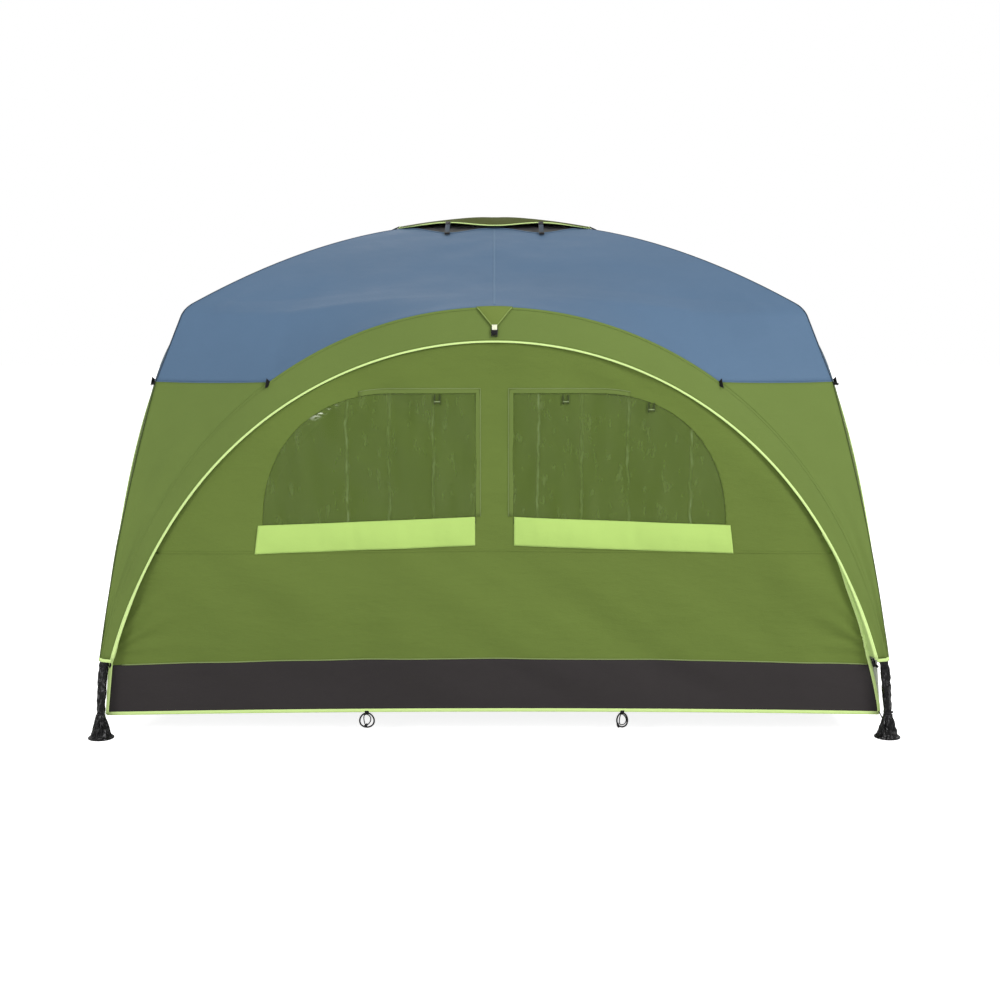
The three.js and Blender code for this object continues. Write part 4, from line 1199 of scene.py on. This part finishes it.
def build_door(side, turn):
    outer, inner = door_line(DOOR_GAP, 80), door_line(DOOR_BORDER, 80)
    tape = sheet("tape", ruled(inner, outer, 4), WALL_GREEN, weld=1e-4)
    base = level(DOOR_SILL + DOOR_BORDER, DOOR_HALF - DOOR_BORDER, len(inner) - 1)
    net = sheet("net", ruled(base, inner, 40), PALE_NET, 0.0007, weld=1e-4)
    low, high = (level(DOOR_SILL + up, DOOR_GAP - DOOR_HALF, 40) for up in (DOOR_GAP, DOOR_BORDER))
    sill = sheet("sill", ruled(low, high, 3), WALL_GREEN)
    attach(merge("screen_door_cloth_" + side, [tape, net, sill]), turn, "screen_door_" + side,
           "door_" + side)


def build_slider(side, turn, s):
    x, y, z = s * (DOOR_HALF + 0.008), -WALL_PLANE - 0.0019, DOOR_SILL + 0.060
    parts = [block((0.010, 0.005, 0.016), (x, y - 0.0025, z), BLACK, 0.0016),
             block((0.004, 0.004, 0.010), (x, y - 0.006, z), BLACK, 0.0014),
             block((0.008, 0.002, 0.034), (x, y - 0.0085, z - 0.016), BLACK, 0.0009)]
    cord = [Vector((x + 0.004 * math.sin(a), y - 0.0085, z - 0.034 - 0.005 * math.cos(a))) for a in circle(16)]
    parts.append(tube("cord", cord, 0.0009, BLACK_TAPE, 8, closed=True))
    attach(merge("zip_slider_metal_" + side, parts), turn, "zip_slider_" + side, "slider_" + side)


# ---------------------------------------------------------------- arch buckles
def buckle_place():
    """Where a buckle sits: its matrix on the front arch band, its own Z up the band."""
    seam, edge = band_point(0.5, 0), band_point(0.5, 1)
    lean = math.atan2(seam.y - edge.y, seam.z - edge.z)
    spot = seam.lerp(edge, BUCKLE_MOUTH)
    lift = -(BUCKLE_DEPTH / 2 + 0.002)
    return Matrix.Translation(spot) @ Matrix.Rotation(-lean, 4, "X") @ Matrix.Translation((0, lift, 0))


def build_buckles():
    w, t, h = BUCKLE_WIDTH, BUCKLE_DEPTH, BUCKLE_HEIGHT
    inside = 2 * BUCKLE_WALL
    plug_y = -0.0015
    for side, quarter in zip(SIDES, TURNS):
        turn = quarter @ buckle_place()
        shell = block((w, t, h), (0, 0, h / 2), BLACK, 0.0018, 4)
        cut_out(shell, [block((w - inside, t - inside, h), (0, 0, h / 2 - 0.002), BLACK, 0.0004, 1)])
        bar = block((w, 0.0045, 0.0028), (0, 0, h + 0.0062), BLACK, 0.0011)
        rib = block((0.014, 0.0010, 0.0022), (0, -t / 2 - 0.0002, h / 2 + 0.002), BLACK, 0.0004)
        rim = block((w + 0.0006, t + 0.0006, 0.0018), (0, 0, h - 0.0012), BLACK, 0.0006)
        cut_out(rim, [block((w - 0.003, t - 0.003, 0.004), (0, 0, h - 0.0012), BLACK, 0.0003, 1)])
        arms = [block((0.0040, 0.0045, 0.0090), (sx * (w / 2 - 0.0020), 0, h + 0.0030), BLACK) for sx in (-1, 1)]
        socket = merge("buckle_shell_" + side, [shell, bar, rib, rim] + arms)
        attach(socket, turn, "buckle_socket_" + side)
        prongs = [block((0.0034 if i else 0.0026, 0.0032, h - 0.001), (i * 0.008, -0.001, h / 2 - 0.0035), BLACK,
                        0.0009) for i in (-1, 0, 1)]
        base = block((w - 0.0010, t - 0.0040, 0.0040), (0, plug_y, -0.0023), BLACK, 0.0012)
        end = block((w - 0.0010, 0.0042, 0.0026), (0, plug_y, -0.0095), BLACK, 0.0011)
        cheeks = [block((0.0040, 0.0042, 0.0070), (sx * (w / 2 - 0.0026), plug_y, -0.0066), BLACK)
                  for sx in (-1, 1)]
        plug = merge("buckle_plug_moulding_" + side, prongs + [base, end] + cheeks)
        attach(plug, turn, "buckle_plug_" + side, "buckle_" + side)


# ---------------------------------------------------------------- hem rings
def build_rings():
    """A ring, its cord and its toggle on each ring body, and the loop that holds it on the shelter."""
    outline = [(0, -0.0095), (0.0036, -0.0090), (0.0050, -0.003), (0.0050, 0.003), (0.0036, 0.0090), (0, 0.0095)]
    for s, hand in HANDS:
        centre = Vector((s * RING_X, -WALL_PLANE, WALL_HEM - 0.010 - RING_R))
        wide, sway, tilt = (1.0, 0.0024, 0.8) if hand == "left" else (0.74, -0.0024, -0.3)
        hoop = [centre + RING_R * Vector((wide * math.sin(a) * (1 - 0.10 * math.cos(a)), 0, math.cos(a)))
                for a in circle(72)]
        cord = []
        for a in circle(30):
            x = 0.013 * math.sin(a) + sway * math.sin(2 * a + s)
            cord.append(centre + Vector((x, -0.0040, RING_R - 0.004 - 0.021 * (1 - math.cos(a)))))
        hang = Vector((-0.006 * s - 0.010, -0.0042, -0.020))
        toggle = place(lathe("toggle", outline, BLACK, 24),
                       Matrix.Translation(centre + hang) @ Matrix.Rotation(tilt, 4, "Y"))
        parts = [tube("hoop", hoop, RING_WIRE, BLACK, 16, closed=True),
                 tube("cord", cord, 0.0021, BLACK_TAPE, 8, closed=True), toggle]
        ring = merge("peg_ring_moulding_" + hand, parts)
        attach(ring, node="peg_ring_" + hand, body="ring_" + hand)
        top = centre + Vector((0, 0, RING_R + 0.0042))
        around = span(-1.25, math.pi + 1.25, 20)
        wrap = [top + Vector((0, 0.0050 * math.cos(a), 0.0085 * math.sin(a))) for a in around]
        facing = [Vector((0, math.cos(a), math.sin(a))) for a in around]
        trim("ring_loop_" + hand, wrap, 0.015, 0.0012, facing, BLACK_TAPE)


# ---------------------------------------------------------------- feet and leg sleeves
def foot_outline():
    bore, step = LEG_R + 0.0006, FOOT_R - FOOT_STEP
    outline = [(0, 0.0), (FOOT_R - 0.003, 0.0), (FOOT_R - 0.0006, 0.0012), (FOOT_R, 0.0030),
               (FOOT_R - 0.0004, 0.0055), (FOOT_R - 0.0022, FOOT_RIM), (step + 0.002, FOOT_RIM + 0.0010)]
    outline += [(lerp(step, FOOT_NECK - 0.002, f**0.92), lerp(FOOT_RIM + 0.003, FOOT_H - 0.006, f))
                for f in span(0, 1, 30)]
    return outline + [(FOOT_NECK - 0.002, FOOT_H - 0.002), (FOOT_NECK - 0.0035, FOOT_H), (bore, FOOT_H),
                      (bore, FOOT_H - FOOT_BORE), (0, FOOT_H - FOOT_BORE)]


def foot_folds(a, z):
    """The cone's skin lies in long folds that run from its neck to its rim."""
    if z < FOOT_RIM + 0.002 or z > FOOT_H - 0.004:
        return 1.0
    share = (z - FOOT_RIM) / (FOOT_H - FOOT_RIM)
    deep = 0.230 * math.sin(math.pi * min(1, share * 1.05 + 0.06)) ** 0.8
    wander = PLEAT(a * 3 / math.pi + 8, share * 3) * 0.9
    return 1 + deep * (abs(math.sin(a * 6 + wander)) - 0.85) + 0.070 * PLEAT(a * 9 / math.pi + 3, share * 7)


def sleeve_radius(a, share, k):
    """The black nylon sleeve is slack below its top, with long folds and crushed wrinkles."""
    radius = lerp(0.0150, lerp(0.0175, 0.0148, share), smoothstep((share - 0.08) * 9))
    long_fold = 0.15 * math.sin(3 * a + 4 * share + k) * math.sin(math.pi * share)
    crush = 0.20 * PLEAT(a * 4 / math.pi + 5 * k, share * 14)
    return radius * (1 + (long_fold + crush) * smoothstep((share - 0.10) * 8))


def build_feet():
    for k, (corner, turn) in enumerate(zip(CORNERS, TURNS)):
        foot = lathe("foot_cone_" + corner, foot_outline(), RUBBER, 180, foot_folds)
        foot_turn = turn @ Matrix.Translation((FOOT_SPREAD, -FOOT_SPREAD, 0))
        attach(foot, foot_turn, "foot_" + corner, "foot_" + corner)
        line = leg_points(SLEEVE_TOP, FOOT_H + 0.003, 60)
        rings = rings_along(line, lambda a, share: sleeve_radius(a, share, k), 48)
        attach(sheet("leg_sleeve_" + corner, rings, BLACK_NYLON, 0.0008, close_u=True), turn)
        build_corner_fittings(corner, turn)


def build_corner_fittings(corner, turn):
    """The clip that hangs each wall corner from the leg sleeve, its strap, and the peg cord by the foot."""
    clip = block((0.013, 0.007, 0.034), (0, 0, 0), RUBBER, 0.0030)
    place(clip, Matrix.Translation(CLIP_PLACE) @ Matrix.Rotation(-0.30, 4, "Y"))
    hook = [Vector(CLIP_PLACE) + Vector((0.018 * f, 0, -0.007 - 0.010 * f)) for f in span(0, 1, 6)]
    low = leg_u(0.110)
    tail = [Vector((low - 0.036 + 0.020 * f, -low - 0.010 - 0.006 * f, 0.104 - 0.032 * f - 0.006 * f * f))
            for f in span(0, 1, 10)]
    outline = [(0, -0.004), (0.003, -0.0035), (0.0045, 0), (0.003, 0.0035), (0, 0.004)]
    knob = place(lathe("knob", outline, BLACK, 20), Matrix.Translation((low + 0.0165, -low - 0.008, 0.100)))
    parts = [clip, strap("hook", hook, 0.010, 0.0022, FRONT, BLACK_TAPE),
             strap("tail", tail, 0.0045, 0.0014, (0, -1, 0.2), BLACK_TAPE), knob]
    attach(merge("corner_fittings_" + corner, parts), turn)


# ---------------------------------------------------------------- stage
def camera_only(nt, seen, unseen):
    """A value that the camera sees differently from the light that bounces."""
    ray = node(nt, "LightPath", {}).outputs["Is Camera Ray"]
    return node(nt, "Mix", {0: ray, 2: unseen, 3: seen}, data_type="FLOAT").outputs[0]


def build_floor():
    mesh = bpy.data.meshes.new("floor")
    r = FLOOR_REACH
    mesh.from_pydata([(-r, -r, 0), (r, -r, 0), (r, r, 0), (-r, r, 0)], [], [(0, 1, 2, 3)])
    mat, nt = new_material("pale_floor")
    surface(mat, (0.80, 0.80, 0.80), 1.0, 0.0, Emission_Color=(1, 1, 1),
            Emission_Strength=camera_only(nt, FLOOR_GLOW, 0.0))
    link("studio_floor", mesh, mat, smooth=False)


def build_stage():
    scene = bpy.context.scene
    scene.view_settings.view_transform = "Standard"
    scene.world = bpy.data.worlds.new("Studio")
    scene.world.use_nodes = True
    nt = scene.world.node_tree
    nt.nodes.clear()
    height = axes(nt, coordinates(nt, "Generated"))[2]
    strength = camera_only(nt, 1.0, ramp(nt, height, -0.05, 0.9, 0.34, 0.82))
    sky = node(nt, "Background", {"Color": (1, 1, 1), "Strength": strength})
    node(nt, "OutputWorld", {0: sky.outputs[0]})
    build_floor()
    for name, (where, target_z, size, power, colour) in LIGHTS.items():
        data = bpy.data.lights.new(name, "AREA")
        data.size, data.energy, data.color = size, power, colour
        lamp = bpy.data.objects.new(name, data)
        lamp.location = where
        lamp.rotation_euler = (Vector((0, 0, target_z)) - Vector(where)).to_track_quat("-Z", "Y").to_euler()
        scene.collection.objects.link(lamp)
    cam_data = bpy.data.cameras.new("Camera")
    cam_data.lens, cam_data.sensor_width = CAMERA_LENS, CAMERA_SENSOR
    camera = bpy.data.objects.new("Camera", cam_data)
    camera.location = CAMERA_PLACE
    camera.rotation_euler = Euler((math.radians(90 - CAMERA_DOWN), 0, math.radians(CAMERA_TURN)), "XYZ")
    scene.collection.objects.link(camera)
    scene.camera = camera


build_frame()
build_hub()
build_roof()
build_lower_canopy()
build_canopy_trim()
build_tabs()
build_vent()
build_front_wall()
build_solid_wall("rear", TURNS[2], 160, 90)
build_screen_wall("right", TURNS[1])
build_screen_wall("left", TURNS[3])
build_slider("right", TURNS[1], -1)
build_slider("left", TURNS[3], 1)
build_buckles()
build_rings()
build_feet()
build_stage()
